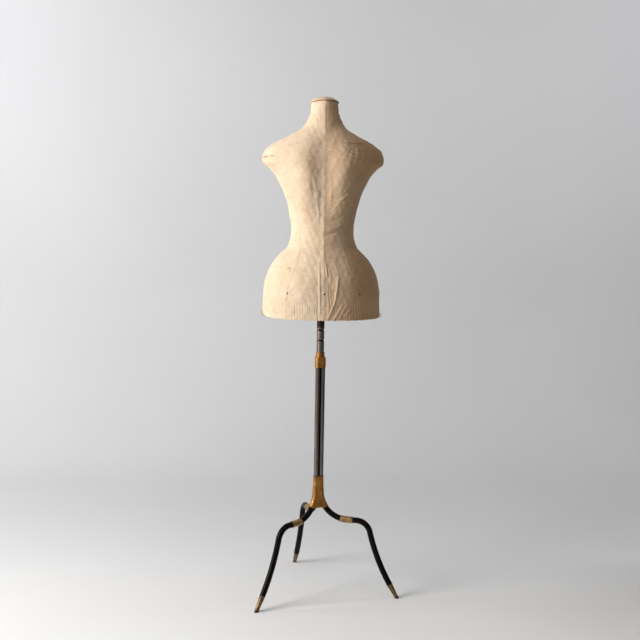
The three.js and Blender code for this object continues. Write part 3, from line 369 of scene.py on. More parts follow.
# ---- materials ----
class Look:
    """A node material on the Principled shader, with short helpers for its texture nodes."""

    def __init__(self, name):
        self.material = bpy.data.materials.new(name)
        self.material.use_nodes = True
        self.tree = self.material.node_tree
        self.shader = self.tree.nodes["Principled BSDF"]
        self.place = self.tree.nodes.new("ShaderNodeTexCoord").outputs["Object"]

    def node(self, kind, **settings):
        made = self.tree.nodes.new(kind)
        for key, value in settings.items():
            setattr(made, key, value)
        return made

    def link(self, source, target):
        self.tree.links.new(source, target)

    def scaled(self, scale, source=None):
        """Object coordinates in millimetres, stretched by a scale for each axis."""
        mapping = self.node("ShaderNodeMapping")
        mapping.inputs["Scale"].default_value = scale
        self.link(source or self.place, mapping.inputs["Vector"])
        return mapping.outputs["Vector"]

    def noise(self, size, detail=4, roughness=0.55, vector=None, distortion=0.0):
        """Noise with features of a size in millimetres, from 0 to 1."""
        made = self.node("ShaderNodeTexNoise")
        made.inputs["Scale"].default_value = 1 / (size * MM)
        made.inputs["Detail"].default_value = detail
        made.inputs["Roughness"].default_value = roughness
        made.inputs["Distortion"].default_value = distortion
        self.link(vector or self.place, made.inputs["Vector"])
        return made.outputs["Fac"]

    def attribute(self, name, output="Fac"):
        return self.node("ShaderNodeAttribute", attribute_name=name).outputs[output]

    def axes(self, source):
        made = self.node("ShaderNodeSeparateXYZ")
        self.link(source, made.inputs[0])
        return made.outputs

    def maths(self, operation, a, b=None):
        made = self.node("ShaderNodeMath", operation=operation)
        for socket, value in zip(made.inputs, (a, b)):
            if value is None:
                continue
            if isinstance(value, (int, float)):
                socket.default_value = value
            else:
                self.link(value, socket)
        return made.outputs["Value"]

    def ramp(self, source, low, high, to_low=0.0, to_high=1.0):
        """Maps low..high smoothly to two values and keeps them beyond."""
        made = self.node("ShaderNodeMapRange", interpolation_type="SMOOTHSTEP")
        for key, value in (("From Min", low), ("From Max", high), ("To Min", to_low), ("To Max", to_high)):
            made.inputs[key].default_value = value
        self.link(source, made.inputs["Value"])
        return made.outputs["Result"]

    def blend(self, share, a, b):
        """Colour a where the share is 0 and b where it is 1."""
        made = self.node("ShaderNodeMix", data_type="RGBA", blend_type="MIX")
        sockets = {s.identifier: s for s in made.inputs}
        for key, value in (("Factor_Float", share), ("A_Color", a), ("B_Color", b)):
            socket = sockets[key]
            if isinstance(value, (int, float)):
                socket.default_value = value
            elif isinstance(value, tuple):
                socket.default_value = (*value, 1)
            else:
                self.link(value, socket)
        return {s.identifier: s for s in made.outputs}["Result_Color"]

    def base(self, source, low, high, a, b):
        """Starts the colour: a where the source is low and b where it is high."""
        self.tone = self.blend(self.ramp(source, low, high), a, b)

    def tint(self, source, low, high, most, colour):
        """Mixes a colour in where the source is high, by at most the given share."""
        self.tone = self.blend(self.ramp(source, low, high, 0.0, most), self.tone, colour)

    def colour(self):
        self.link(self.tone, self.shader.inputs["Base Color"])

    def roughness(self, source):
        self.link(source, self.shader.inputs["Roughness"])

    def bumps(self, *layers):
        """Stacks bump layers given as (height 0 to 1, depth in millimetres)."""
        last = None
        for height, depth in layers:
            made = self.node("ShaderNodeBump")
            made.inputs["Strength"].default_value = 1.0
            made.inputs["Distance"].default_value = depth * MM
            self.link(height, made.inputs["Height"])
            if last is not None:
                self.link(last, made.inputs["Normal"])
            last = made.outputs["Normal"]
        self.link(last, self.shader.inputs["Normal"])

    def finish_metal(self, metallic, grain, smoothest, roughest, depth):
        """Colour, roughness by the grain, and the grain as a bump of a depth in millimetres."""
        self.colour()
        self.set(Metallic=metallic)
        self.roughness(self.ramp(grain, 0.3, 0.7, smoothest, roughest))
        self.bumps((grain, depth))

    def set(self, **values):
        for key, value in values.items():
            self.shader.inputs[key.replace("_", " ")].default_value = value


def canvas_look():
    """Unbleached canvas, aged: a plain weave with thicker threads here and there, and stains, with painted
    shade on the side away from the light and in hollows.
    """
    look = Look("canvas")
    cloth = look.attribute("cloth", "Vector")
    across, along, _ = look.axes(cloth)
    thread = 0.85 * MM
    warp = look.maths("SINE", look.maths("MULTIPLY", across, 2 * math.pi / thread))
    weft = look.maths("SINE", look.maths("MULTIPLY", along, 2 * math.pi / thread))
    weave = look.maths("MULTIPLY", warp, weft)
    weave = look.ramp(weave, -1, 1)
    slub_along = look.noise(1.3, 3, 0.6, look.scaled((1, 0.07, 1), cloth))
    slub_across = look.noise(1.3, 3, 0.6, look.scaled((0.07, 1, 1), cloth))
    slubs = look.maths("MULTIPLY", look.maths("ADD", slub_along, slub_across), 0.5)
    cloudy = look.noise(75, 5, 0.6)
    patches = look.noise(22, 4, 0.6)
    specks = look.noise(4.5, 2, 0.5)
    stain_and_shade = look.attribute("stain_and_shade")
    tan = look.attribute("tan")
    plain_canvas = look.blend(look.ramp(cloudy, 0.35, 0.68), (0.77, 0.605, 0.44), (0.70, 0.53, 0.37))
    painted_shade_brown = look.blend(look.ramp(cloudy, 0.35, 0.68), (0.55, 0.315, 0.145), (0.47, 0.260, 0.110))
    # painted shade: where the tan attribute is high, the canvas turns a darker warm brown for the side away
    # from the light
    look.tone = look.blend(tan, plain_canvas, painted_shade_brown)
    look.tint(patches, 0.50, 0.75, 0.45, (0.57, 0.36, 0.20))
    blotches = look.noise(9, 3, 0.6)
    look.tint(blotches, 0.52, 0.72, 0.22, (0.40, 0.25, 0.145))
    look.tint(slubs, 0.42, 0.62, 0.30, (0.80, 0.66, 0.49))
    look.tint(slubs, 0.5, 0.36, 0.22, (0.42, 0.29, 0.18))
    look.tint(specks, 0.73, 0.80, 0.45, (0.30, 0.19, 0.11))
    look.tint(stain_and_shade, 0.0, 1.0, 0.85, (0.20, 0.105, 0.050))
    look.colour()
    look.set(Roughness=0.92, Sheen_Weight=0.12, Sheen_Roughness=0.6, Specular_IOR_Level=0.25)
    look.bumps((weave, 0.10), (slubs, 0.35), (patches, 0.5))
    return look.material


def band_look():
    """A dark red-brown strip, cracked along its length, pale with painted light on its own left and darker
    with painted shade on its own right.
    """
    look = Look("dark_band")
    streaks = look.noise(2.2, 4, 0.6, look.scaled((1, 1, 4)))
    # painted light and shade: pale on the own left towards the light, dark on the own right
    painted_lit_side = look.ramp(look.axes(look.place)[0], AXIS[0] - 5 * MM, AXIS[0] + 22 * MM)
    dark = look.blend(look.ramp(streaks, 0.35, 0.7), (0.040, 0.012, 0.007), (0.12, 0.045, 0.022))
    look.tone = look.blend(painted_lit_side, dark, (0.34, 0.22, 0.13))
    look.colour()
    look.set(Roughness=0.75)
    look.bumps((streaks, 0.3))
    return look.material


CAST_BROWN = ((0.43, 0.210, 0.045), (0.29, 0.125, 0.025), (0.62, 0.38, 0.15))
PALE_DIRTY = ((0.46, 0.290, 0.125), (0.26, 0.150, 0.060), (0.62, 0.48, 0.31))
WORN_TIP = ((0.27, 0.175, 0.085), (0.15, 0.090, 0.040), (0.36, 0.28, 0.18))


def brass_look(name, tones, polish=0.0):
    """Cast brass gone brown: lighter where hands and cloths rub it, dark in its pits."""
    look = Look(name)
    cloudy = look.noise(14, 5, 0.62)
    pits = look.noise(1.8, 4, 0.6)
    rub = look.noise(5, 3, 0.5, look.scaled((1, 1, 0.35)))
    plain, shaded, rubbed = tones
    look.base(cloudy, 0.36, 0.66, plain, shaded)
    look.tint(rub, 0.52, 0.72, 0.55, rubbed)
    look.tint(pits, 0.47, 0.33, 0.65, (0.10, 0.045, 0.015))
    grime_and_shade = look.attribute("grime_and_shade")
    look.tint(grime_and_shade, 0, 1, 0.9, (0.045, 0.022, 0.014))
    look.colour()
    look.set(Metallic=0.85)
    look.roughness(look.ramp(pits, 0.3, 0.7, 0.58 - polish, 0.40 - polish))
    look.bumps((pits, 0.16), (cloudy, 0.5))
    return look.material


def dark_steel_look():
    """Blackened steel: black enamel on the legs, rubbed to grey metal on the post above the hub,
    with painted shade between the rods, which darkens them and takes away their shine."""
    look = Look("dark_steel")
    on_post = look.ramp(look.axes(look.place)[2], HIP_Z * MM, HUB_TOP_Z * MM)
    streaks = look.noise(2.6, 5, 0.65, look.scaled((1, 1, 0.05)))
    cloudy = look.noise(18, 5, 0.6)
    chips = look.noise(1.6, 3, 0.6)
    legs = look.blend(look.ramp(cloudy, 0.35, 0.7), (0.0030, 0.0016, 0.0014), (0.0090, 0.0046, 0.0037))
    post = look.blend(look.ramp(streaks, 0.35, 0.7), (0.190, 0.170, 0.155), (0.085, 0.070, 0.062))
    look.tone = look.blend(on_post, legs, post)
    look.tint(chips, 0.68, 0.76, 0.30, (0.12, 0.07, 0.045))
    rust = look.attribute("rust")
    look.tint(rust, 0, 1, 0.85, (0.045, 0.012, 0.007))
    # painted shade: near black on the rods' faces that turn towards each other
    crevice_shade = look.attribute("crevice_shade")
    look.tint(crevice_shade, 0, 1, 0.97, (0.004, 0.003, 0.003))
    look.colour()
    outside_crevice = look.ramp(crevice_shade, 0, 1, 1.0, 0.05)
    metal = look.maths("MULTIPLY", look.ramp(on_post, 0, 1, 0.0, 0.6), outside_crevice)
    shine = look.maths("MULTIPLY", look.ramp(on_post, 0, 1, 0.09, 0.4), outside_crevice)
    look.link(metal, look.shader.inputs["Metallic"])
    look.link(shine, look.shader.inputs["Specular IOR Level"])
    look.roughness(look.ramp(streaks, 0.3, 0.7, 0.17, 0.34))
    look.bumps((chips, 0.06), (streaks, 0.05))
    return look.material


def pole_look():
    """Bare steel, scratched up and down, soiled brown in the grooves, with painted shadow over its top, which
    stands up inside the hem.
    """
    look = Look("scratched_steel")
    scratches = look.noise(1.1, 5, 0.7, look.scaled((1, 1, 0.06)))
    rings = look.noise(2.4, 3, 0.6, look.scaled((0.08, 0.08, 1)))
    cloudy = look.noise(13, 4, 0.6)
    look.base(scratches, 0.38, 0.66, (0.33, 0.29, 0.265), (0.10, 0.075, 0.065))
    look.tint(rings, 0.60, 0.76, 0.5, (0.07, 0.05, 0.042))
    look.tint(cloudy, 0.52, 0.75, 0.55, (0.085, 0.055, 0.042))
    # soiling in the grooves and painted shadow under the hem
    grime_and_shade = look.attribute("grime_and_shade")
    look.tint(grime_and_shade, 0, 1, 0.93, (0.030, 0.010, 0.007))
    look.colour()
    look.set(Metallic=0.9)
    look.roughness(look.ramp(scratches, 0.3, 0.7, 0.30, 0.52))
    look.bumps((scratches, 0.06), (rings, 0.05))
    return look.material


def iron_look():
    """Blackened iron with a little rust."""
    look = Look("iron")
    grain = look.noise(1.4, 4, 0.6)
    look.base(look.noise(9, 4, 0.6), 0.4, 0.7, (0.030, 0.026, 0.024), (0.085, 0.045, 0.028))
    look.finish_metal(0.7, grain, 0.45, 0.7, 0.12)
    return look.material


def steel_look():
    """Bright steel with fine scratches."""
    look = Look("small_steel")
    scratches = look.noise(0.8, 4, 0.7, look.scaled((1, 0.2, 1)))
    look.base(scratches, 0.35, 0.7, (0.36, 0.34, 0.32), (0.15, 0.12, 0.10))
    look.finish_metal(0.95, scratches, 0.28, 0.5, 0.04)
    return look.material


def paper_look():
    """Paper board: overlapping brown sheets with fibres and glue stains."""
    look = Look("papier_mache")
    sheets = look.node("ShaderNodeTexVoronoi")
    sheets.inputs["Scale"].default_value = 1 / (70 * MM)
    look.link(look.place, sheets.inputs["Vector"])
    tone = look.node("ShaderNodeSeparateColor")
    look.link(sheets.outputs["Color"], tone.inputs[0])
    fibres = look.noise(1.6, 5, 0.7)
    stains = look.noise(45, 5, 0.6)
    look.tone = look.blend(tone.outputs[0], (0.30, 0.205, 0.12), (0.42, 0.31, 0.20))
    look.tint(fibres, 0.4, 0.65, 0.4, (0.52, 0.41, 0.28))
    look.tint(stains, 0.52, 0.72, 0.6, (0.16, 0.095, 0.05))
    look.colour()
    look.set(Roughness=0.9)
    look.bumps((fibres, 0.25), (tone.outputs[0], 0.4))
    return look.material


def wood_look():
    """Softwood: long grain with darker late wood and a few marks."""
    look = Look("wood")
    stretched = look.scaled((0.05, 1, 1))
    grain = look.noise(5, 4, 0.6, stretched, distortion=0.6)
    pores = look.noise(0.9, 3, 0.6, look.scaled((0.08, 1, 1)))
    look.base(grain, 0.35, 0.65, (0.46, 0.29, 0.145), (0.27, 0.15, 0.065))
    look.tint(pores, 0.6, 0.75, 0.5, (0.13, 0.07, 0.035))
    look.colour()
    look.set(Roughness=0.72)
    look.bumps((pores, 0.15), (grain, 0.2))
    return look.material


def thread_look(name, colour):
    look = Look(name)
    twist = look.noise(0.5, 2, 0.5)
    look.tone = look.blend(twist, colour, tuple(c * 0.6 for c in colour))
    look.colour()
    look.set(Roughness=0.9, Sheen_Weight=0.2)
    look.bumps((twist, 0.05))
    return look.material


CANVAS = canvas_look()
BAND = band_look()
BRASS = brass_look("brass", CAST_BROWN)
PALE_BRASS = brass_look("pale_brass", PALE_DIRTY, polish=0.08)
TIP_BRASS = brass_look("tip_brass", WORN_TIP, polish=0.05)
DARK_STEEL = dark_steel_look()
POLE_STEEL = pole_look()
IRON = iron_look()
STEEL = steel_look()
PAPER = paper_look()
WOOD = wood_look()
THREAD = thread_look("loose_thread", (0.78, 0.66, 0.48))
DARK_THREAD = thread_look("dark_thread", (0.10, 0.065, 0.045))


# ---- stand ----
HUB_ARM_END = math.radians(36)         # turn along the hip bend where the hub's sleeves end


def build_leg(number, turn):
    """The rod of the post and hip, the ferrule, the shin and the tip, with rust where they join."""
    joint_marks = [POST_TOP_Z - COLLAR_BOTTOM_Z, POST_TOP_Z - HUB_TOP_Z,
                   POST_LENGTH + HIP_BEND_R * HUB_ARM_END, FERRULE_START, FERRULE_END, TIP_START]
    pieces = [
        ("rod_upper", rounded_bar(0, FERRULE_START - GAP, leg_radius, 4), "post_rod",
         DARK_STEEL, "dark_steel"),
        ("ferrule", rounded_bar(FERRULE_START, FERRULE_END, lambda s: FERRULE_R, 3, 0.9), "leg_ferrule",
         PALE_BRASS, "brass"),
        ("rod_shin", rounded_bar(FERRULE_END + GAP, TIP_START - GAP, leg_radius, 4), "shin_rod",
         DARK_STEEL, "dark_steel"),
    ]
    for label, sections, node, material, slot in pieces:
        points, faces, lengths = leg_body(sections, turn)
        obj = make_object(f"{label}_{number}", points, faces, material, "stand")
        if slot == "dark_steel":
            set_attribute(obj, "rust", near_lengths(lengths, joint_marks, 3.5))
            # painted shade on the faces of the post's rods that turn towards each other
            from_axis = np.hypot(points[:, 0], points[:, 1])
            set_attribute(obj, "crevice_shade", smooth(13.5, 9.5, from_axis) * (lengths < POST_LENGTH))
        else:
            set_attribute(obj, "grime_and_shade", 0.8 * near_lengths(lengths, [FERRULE_START, FERRULE_END], 1.6))
        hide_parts(f"{node}_{number}")
    build_tip(number, turn)


def build_tip(number, turn):
    """A tapered shoe with a ring at its top, cut level with the floor."""
    ring = 5.5
    profile = [(0.0, TIP_TOP_R - 0.7), (0.5, TIP_TOP_R), (1.9, TIP_TOP_R), (2.3, TIP_TOP_R - 0.8),
               (2.9, TIP_TOP_R - 0.8), (3.3, TIP_TOP_R), (ring - 0.5, TIP_TOP_R), (ring, TIP_TOP_R - 0.6),
               (ring + 0.5, TIP_TOP_R - 1.0), (ring + 1.1, TIP_TOP_R - 0.5)]
    past = TIP_LENGTH + 6
    for s in np.linspace(ring + 2.5, past, 16):
        profile.append((s, mix(TIP_TOP_R - 0.4, TIP_END_R, (s - ring) / (past - ring))))
    segments = 32
    r0, z0, lean = leg_at(TIP_START)
    turns = np.arange(segments) * 2 * math.pi / segments
    rings = []
    for s, radius in profile:
        out = radius * np.cos(turns)
        rings.append(np.stack([r0 + s * math.sin(lean) + out * math.cos(lean), radius * np.sin(turns),
                               z0 - s * math.cos(lean) + out * math.sin(lean)], axis=1))
    points, faces = loft(rings)
    points = at_leg(points, turn)
    lengths = np.append(np.repeat([s for s, _ in profile], segments), [profile[0][0], profile[-1][0]])
    obj = make_object(f"tip_{number}", points, faces, TIP_BRASS, "stand")
    set_attribute(obj, "grime_and_shade", np.clip(0.9 * near_lengths(lengths, [2.6, ring + 0.6], 1.0)
                                        + smooth(TIP_LENGTH - 17, TIP_LENGTH - 1, lengths), 0, 1))
    cut_below_floor(obj)
    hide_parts(f"foot_tip_{number}")


def cut_below_floor(obj):
    """Takes away what lies below the floor and closes the cut."""
    mesh = bmesh.new()
    mesh.from_mesh(obj.data)
    geometry = mesh.verts[:] + mesh.edges[:] + mesh.faces[:]
    cut = bmesh.ops.bisect_plane(mesh, geom=geometry, plane_co=(0, 0, 0), plane_no=(0, 0, 1),
                                 clear_inner=True)
    rim = [e for e in cut["geom_cut"] if isinstance(e, bmesh.types.BMEdge)]
    bmesh.ops.contextual_create(mesh, geom=rim)
    bmesh.ops.recalc_face_normals(mesh, faces=mesh.faces[:])
    mesh.to_mesh(obj.data)
    mesh.free()


def wrap_radius(turn, circle_r, wall_r):
    """Outline round three circles at the leg directions: round at each and flat between them."""
    third = 2 * math.pi / 3
    offset = turn - (math.pi / 2 - math.radians(LEG_TURNS[0]))
    off = abs(offset - third * round(offset / third))
    touch = math.atan2(wall_r * math.sin(third / 2), circle_r + wall_r * math.cos(third / 2))
    if off <= touch:
        return circle_r * math.cos(off) + math.sqrt(wall_r**2 - (circle_r * math.sin(off)) ** 2)
    return (circle_r / 2 + wall_r) / math.cos(third / 2 - off)


def outline_ring(z, segments, radius_at):
    """A level ring whose radius depends on the turn, counted from the first leg."""
    first = math.pi / 2 - math.radians(LEG_TURNS[0])
    ring = []
    for j in range(segments):
        turn = first + 2 * math.pi * j / segments
        radius = radius_at(turn)
        ring.append((radius * math.cos(turn), radius * math.sin(turn), z))
    return ring


def soften(obj, voxel, passes):
    """Melts the object's overlapping closed bodies into one skin with soft edges."""
    remesh = obj.modifiers.new("melt", "REMESH")
    remesh.mode = "VOXEL"
    remesh.voxel_size = voxel * MM
    remesh.use_smooth_shade = True
    rub = obj.modifiers.new("rub", "SMOOTH")
    rub.factor = 0.5
    rub.iterations = passes
    bpy.context.view_layer.update()
    evaluated = obj.evaluated_get(bpy.context.evaluated_depsgraph_get())
    mesh = bpy.data.meshes.new_from_object(evaluated)
    obj.modifiers.clear()
    obj.data = mesh
    mesh.polygons.foreach_set("use_smooth", [True] * len(mesh.polygons))


def merge(parts):
    """Several bodies' points and faces as one list of each."""
    points, faces = [], []
    for part_points, part_faces in parts:
        shift = len(points)
        points.extend(np.asarray(part_points).tolist())
        faces.extend([tuple(i + shift for i in f) for f in part_faces])
    return np.array(points), faces


def vertex_array(obj):
    """The object's vertices in millimetres about the post's axis."""
    co = np.empty(len(obj.data.vertices) * 3)
    obj.data.vertices.foreach_get("co", co)
    return (co.reshape(-1, 3) - AXIS) / MM


def build_hub():
    """A casting that wraps the rods at their bend and ends in a short sleeve on each leg."""
    skirt_r, top_r = LEG_R + 1.3, ROD_R + 1.2
    thin_from = 350
    rings = []
    heights = list(np.linspace(HUB_BOTTOM_Z, HIP_Z, 14)) + list(np.linspace(HIP_Z + 4, HUB_TOP_Z, 12))
    for z in heights:
        drop = max(0.0, HIP_Z - z)
        circle_r = HIP_R - math.sqrt(HIP_BEND_R**2 - drop**2)
        wall_r = mix(skirt_r, top_r, smooth(HIP_Z, thin_from, z))
        rings.append(outline_ring(z, 90, lambda turn: wrap_radius(turn, circle_r, wall_r)))
    bottom = np.array(rings[0])
    centre = np.array([0, 0, HUB_BOTTOM_Z])
    for share, rise in ((0.4, 0.3), (0.26, 3), (0.12, 4.8)):       # the arch under its middle
        rings.insert(0, ((bottom - centre) * share + centre + np.array([0, 0, rise])).tolist())
    body_points, body_faces = loft(rings)
    parts = [(body_points, facing_out(body_points, body_faces))]
    for turn in LEG_TURNS:
        sections = [(s, skirt_r) for s in
                    lengths_between(POST_LENGTH + 24, POST_LENGTH + HIP_BEND_R * HUB_ARM_END, 3)]
        points, faces, _ = leg_body(sections, turn)
        parts.append((points, faces))
    points, faces = merge(parts)
    obj = make_object("hub", points, faces, BRASS, "stand")
    soften(obj, 0.8, 3)
    z = vertex_array(obj)[:, 2]
    set_attribute(obj, "grime_and_shade", 0.8 * smooth(HUB_TOP_Z - 2.5, HUB_TOP_Z, z)
                  + 0.5 * smooth(HUB_BOTTOM_Z + 4, HUB_BOTTOM_Z - 8, z))
    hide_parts("hub_casting")


def build_collar():
    """A round body that steps in to a ring, filed flat between the rods."""
    wall = 2.4
    low, high = COLLAR_SHOULDER_LOW_Z, COLLAR_SHOULDER_HIGH_Z
    heights = [COLLAR_BOTTOM_Z, COLLAR_BOTTOM_Z + 0.6, low - 20, low - 10, *np.linspace(low, high, 12),
               high + 4, COLLAR_TOP_Z - 0.6, COLLAR_TOP_Z]
    rings = []
    for z in heights:
        edge = 0.5 if z in (COLLAR_BOTTOM_Z, COLLAR_TOP_Z) else 0
        turned = mix(COLLAR_BODY_R, COLLAR_RING_R, smooth(low, high, z))
        rings.append(outline_ring(z, 120, lambda turn: min(
            turned, wrap_radius(turn, ROD_CIRCLE_R, ROD_R + wall)) - edge))
    points, faces = loft(rings)
    obj = make_object("collar", points, faces, BRASS, "stand")
    soften(obj, 0.45, 2)
    z = vertex_array(obj)[:, 2]
    set_attribute(obj, "grime_and_shade", 0.9 * smooth(COLLAR_TOP_Z - 1.5, COLLAR_TOP_Z, z)
                  + 0.6 * smooth(COLLAR_BOTTOM_Z + 1.5, COLLAR_BOTTOM_Z, z))
    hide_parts("top_collar")


def build_pole():
    """The pole, with a V groove at each notch."""
    profile = [(POLE_R - 0.5, POLE_BOTTOM_Z)]
    z = POLE_BOTTOM_Z + 0.5
    grooves = [NOTCH_FIRST_Z + i * NOTCH_PITCH for i in range(NOTCH_COUNT)]
    for groove in grooves:
        for s in np.arange(z, groove - NOTCH_HALF_WIDTH - 1, 4):
            profile.append((POLE_R, s))
        for step in np.linspace(-NOTCH_HALF_WIDTH - 0.3, NOTCH_HALF_WIDTH + 0.3, 11):
            depth = NOTCH_DEPTH * (1 - smooth(0.6, NOTCH_HALF_WIDTH, abs(step)))
            profile.append((POLE_R - depth, groove + step))
        z = groove + NOTCH_HALF_WIDTH + 1.3
    for s in np.arange(z, POLE_TOP_Z - 2, 4):
        profile.append((POLE_R, s))
    profile += [(POLE_R, POLE_TOP_Z - 2), (POLE_R - 2, POLE_TOP_Z)]
    points, faces = loft(lathe(profile, 64))
    obj = make_object("grooved_pole", points, faces, POLE_STEEL, "stand")
    z = vertex_array(obj)[:, 2]
    nearest = np.min([np.abs(z - groove) for groove in grooves], axis=0)
    # painted shadow: the pole darkens from a little below the hem upwards
    painted_hem_shadow = 0.85 * smooth(HEM_Z - 46, HEM_Z - 30, z)
    set_attribute(obj, "grime_and_shade", np.maximum(smooth(NOTCH_HALF_WIDTH + 1.2, 0.8, nearest), painted_hem_shadow))
    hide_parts("pole")


# ---- torso surface ----
def body_points(turn, z):
    """Points of the torso's plain outer face; turn is 0 at the centre back and grows towards +X."""
    sideways, backwards = np.sin(turn), np.cos(turn)
    power = 2 / through(STATION_Z, SQUARE, z)
    depth = np.where(backwards > 0, through(STATION_Z, BACK, z), through(STATION_Z, FRONT, z))
    x = through(STATION_Z, HALF, z) * np.sign(sideways) * np.abs(sideways) ** power
    y = depth * np.sign(backwards) * np.abs(backwards) ** power
    facing = smooth(0, 0.5, np.abs(backwards))
    for side, at_x, at_z, wide, high, out in BUMPS:
        lift = bell(np.abs(x) - at_x, wide) * bell(z - at_z, high) * facing
        y = y + np.where(np.sign(backwards) == side, side * out * lift, 0)
    for at_z, wide, high, depth in HOLLOWS:
        y = y - np.where(backwards > 0, depth * bell(x, wide) * bell(z - at_z, high), 0)
    outwards = np.maximum(0, np.abs(x) - SWEEP_FROM_X) / SWEEP_REACH
    grown = smooth(*SWEEP_LOW, z) - smooth(*SWEEP_HIGH, z)
    y = y - SWEEP_DEPTH * outwards**SWEEP_POWER * grown
    tilt = math.tan(NECK_SLANT) * smooth(NECK_SLANT_FROM_Z, NECK_TOP_Z, z)
    return np.stack([x, y, z + y * tilt], axis=-1)


def outward(turn, z):
    """Unit vectors square to the torso's face."""
    step = 0.004
    high = np.minimum(z + 1, NECK_TOP_Z)
    low = np.maximum(z - 1, HEM_Z)
    along = body_points(turn + step, z) - body_points(turn - step, z)
    up = body_points(turn, high) - body_points(turn, low)
    normal = np.cross(up, along)
    return normal / np.linalg.norm(normal, axis=-1, keepdims=True)


def seam_turn(z):
    """Turn of the side-back seam, in radians; the side-front seam mirrors it."""
    return np.radians(through(SEAM_Z, SEAM_TURN.astype(float), z))


def form_relief(turn, z, x):
    """The ridge down the middle of the back, which is lowest between the shoulder blades."""
    backwards = np.cos(turn)
    on_back = smooth(0.0, 0.5, backwards)
    ridge_high = 2.4 - 1.65 * (smooth(1230, 1300, z) - smooth(1430, 1480, z))
    ridge = ridge_high * np.exp(-np.abs(x) / 15)
    return np.where(backwards > 0, on_back * ridge, 0)


FOLD_STRENGTH = 1.85
HEM_CORNER = math.radians(94)          # turn of the hem's two corners, from the middle of the back
DEEPEST_CREASE = 2.2                   # the cloth never lies lower than this under its plain face

# Folds pulled into the cloth of the back: points (x, z) along each, its half width and height.
FOLDS = [
    ([(-42, 1026), (-39, 1000), (-34, 955), (-25, 930), (-12, 897)], 2.4, 2.2),
    ([(-24, 1076), (-33, 1063), (-39, 1045), (-45, 1022)], 2.6, 0.7),
    ([(-4, 1066), (-7, 1045), (-9, 1022)], 2.2, 1.3),
    ([(-14, 1056), (-18, 1030), (-18, 1004)], 3.0, 0.8),
    ([(-31, 896), (-44, 921), (-58, 945)], 3.0, 1.7),
    ([(-45, 896), (-56, 918), (-70, 944)], 2.8, 1.5),
    ([(-60, 898), (-72, 918), (-84, 936)], 2.8, 1.1),
    ([(-76, 896), (-86, 912), (-95, 924)], 2.6, 0.8),
    ([(15, 1062), (15, 1020), (14, 985), (12, 940), (10, 896)], 3.0, 1.3),
    ([(-42, 1252), (-64, 1267), (-88, 1281)], 3.4, 1.6),
    ([(-4, 1150), (-28, 1157), (-56, 1168)], 5.0, -1.4),
    ([(-6, 1188), (-34, 1197), (-64, 1210)], 5.5, -1.2),
    ([(-10, 1168), (-36, 1174), (-70, 1188)], 5.0, 0.9),
    ([(-100, 972), (-102, 940), (-104, 905)], 3.2, -0.7),
    ([(124, 1402), (123, 1352)], 2.0, -0.7),
    ([(115, 1402), (114, 1350)], 2.0, -0.6),
    ([(134, 1398), (132, 1358)], 2.0, -0.4),
    ([(40, 1330), (37, 1290), (30, 1240)], 4.5, -0.9),
    ([(22, 1290), (20, 1240), (16, 1180)], 4.0, 0.7),
    ([(-16, 1330), (-20, 1290), (-18, 1240)], 4.0, 0.8),
]


def fold_line(path, samples=24):
    """A smooth line through a fold's points."""
    path = np.array(path, float)
    at = np.linspace(0, len(path) - 1, samples)
    x = np.interp(at, range(len(path)), path[:, 0])
    z = np.interp(at, range(len(path)), path[:, 1])
    for _ in range(3):
        x[1:-1] = (x[:-2] + 2 * x[1:-1] + x[2:]) / 4
        z[1:-1] = (z[:-2] + 2 * z[1:-1] + z[2:]) / 4
    return np.stack([x, z], axis=1)


def fold_height(path, width, height, x, z):
    """Height of one fold: sharp along its line, fading to its sides and ends."""
    line = fold_line(path)
    best = np.full(x.shape, 1e9)
    share = np.zeros(x.shape)
    for i in range(len(line) - 1):
        a, step = line[i], line[i + 1] - line[i]
        t = np.clip(((x - a[0]) * step[0] + (z - a[1]) * step[1]) / (step @ step), 0, 1)
        distance = np.hypot(x - a[0] - t * step[0], z - a[1] - t * step[1])
        closer = distance < best
        best = np.where(closer, distance, best)
        share = np.where(closer, (i + t) / (len(line) - 1), share)
    taper = np.sqrt(np.clip(np.sin(math.pi * np.clip(share, 0.02, 0.98)), 0, 1))
    return height * taper / (1 + (best / width) ** 2) ** 1.5


def creases(phase):
    """A row of narrow creases, 1 on each and near 0 between them."""
    return (1 - np.abs(np.sin(phase))) ** 2


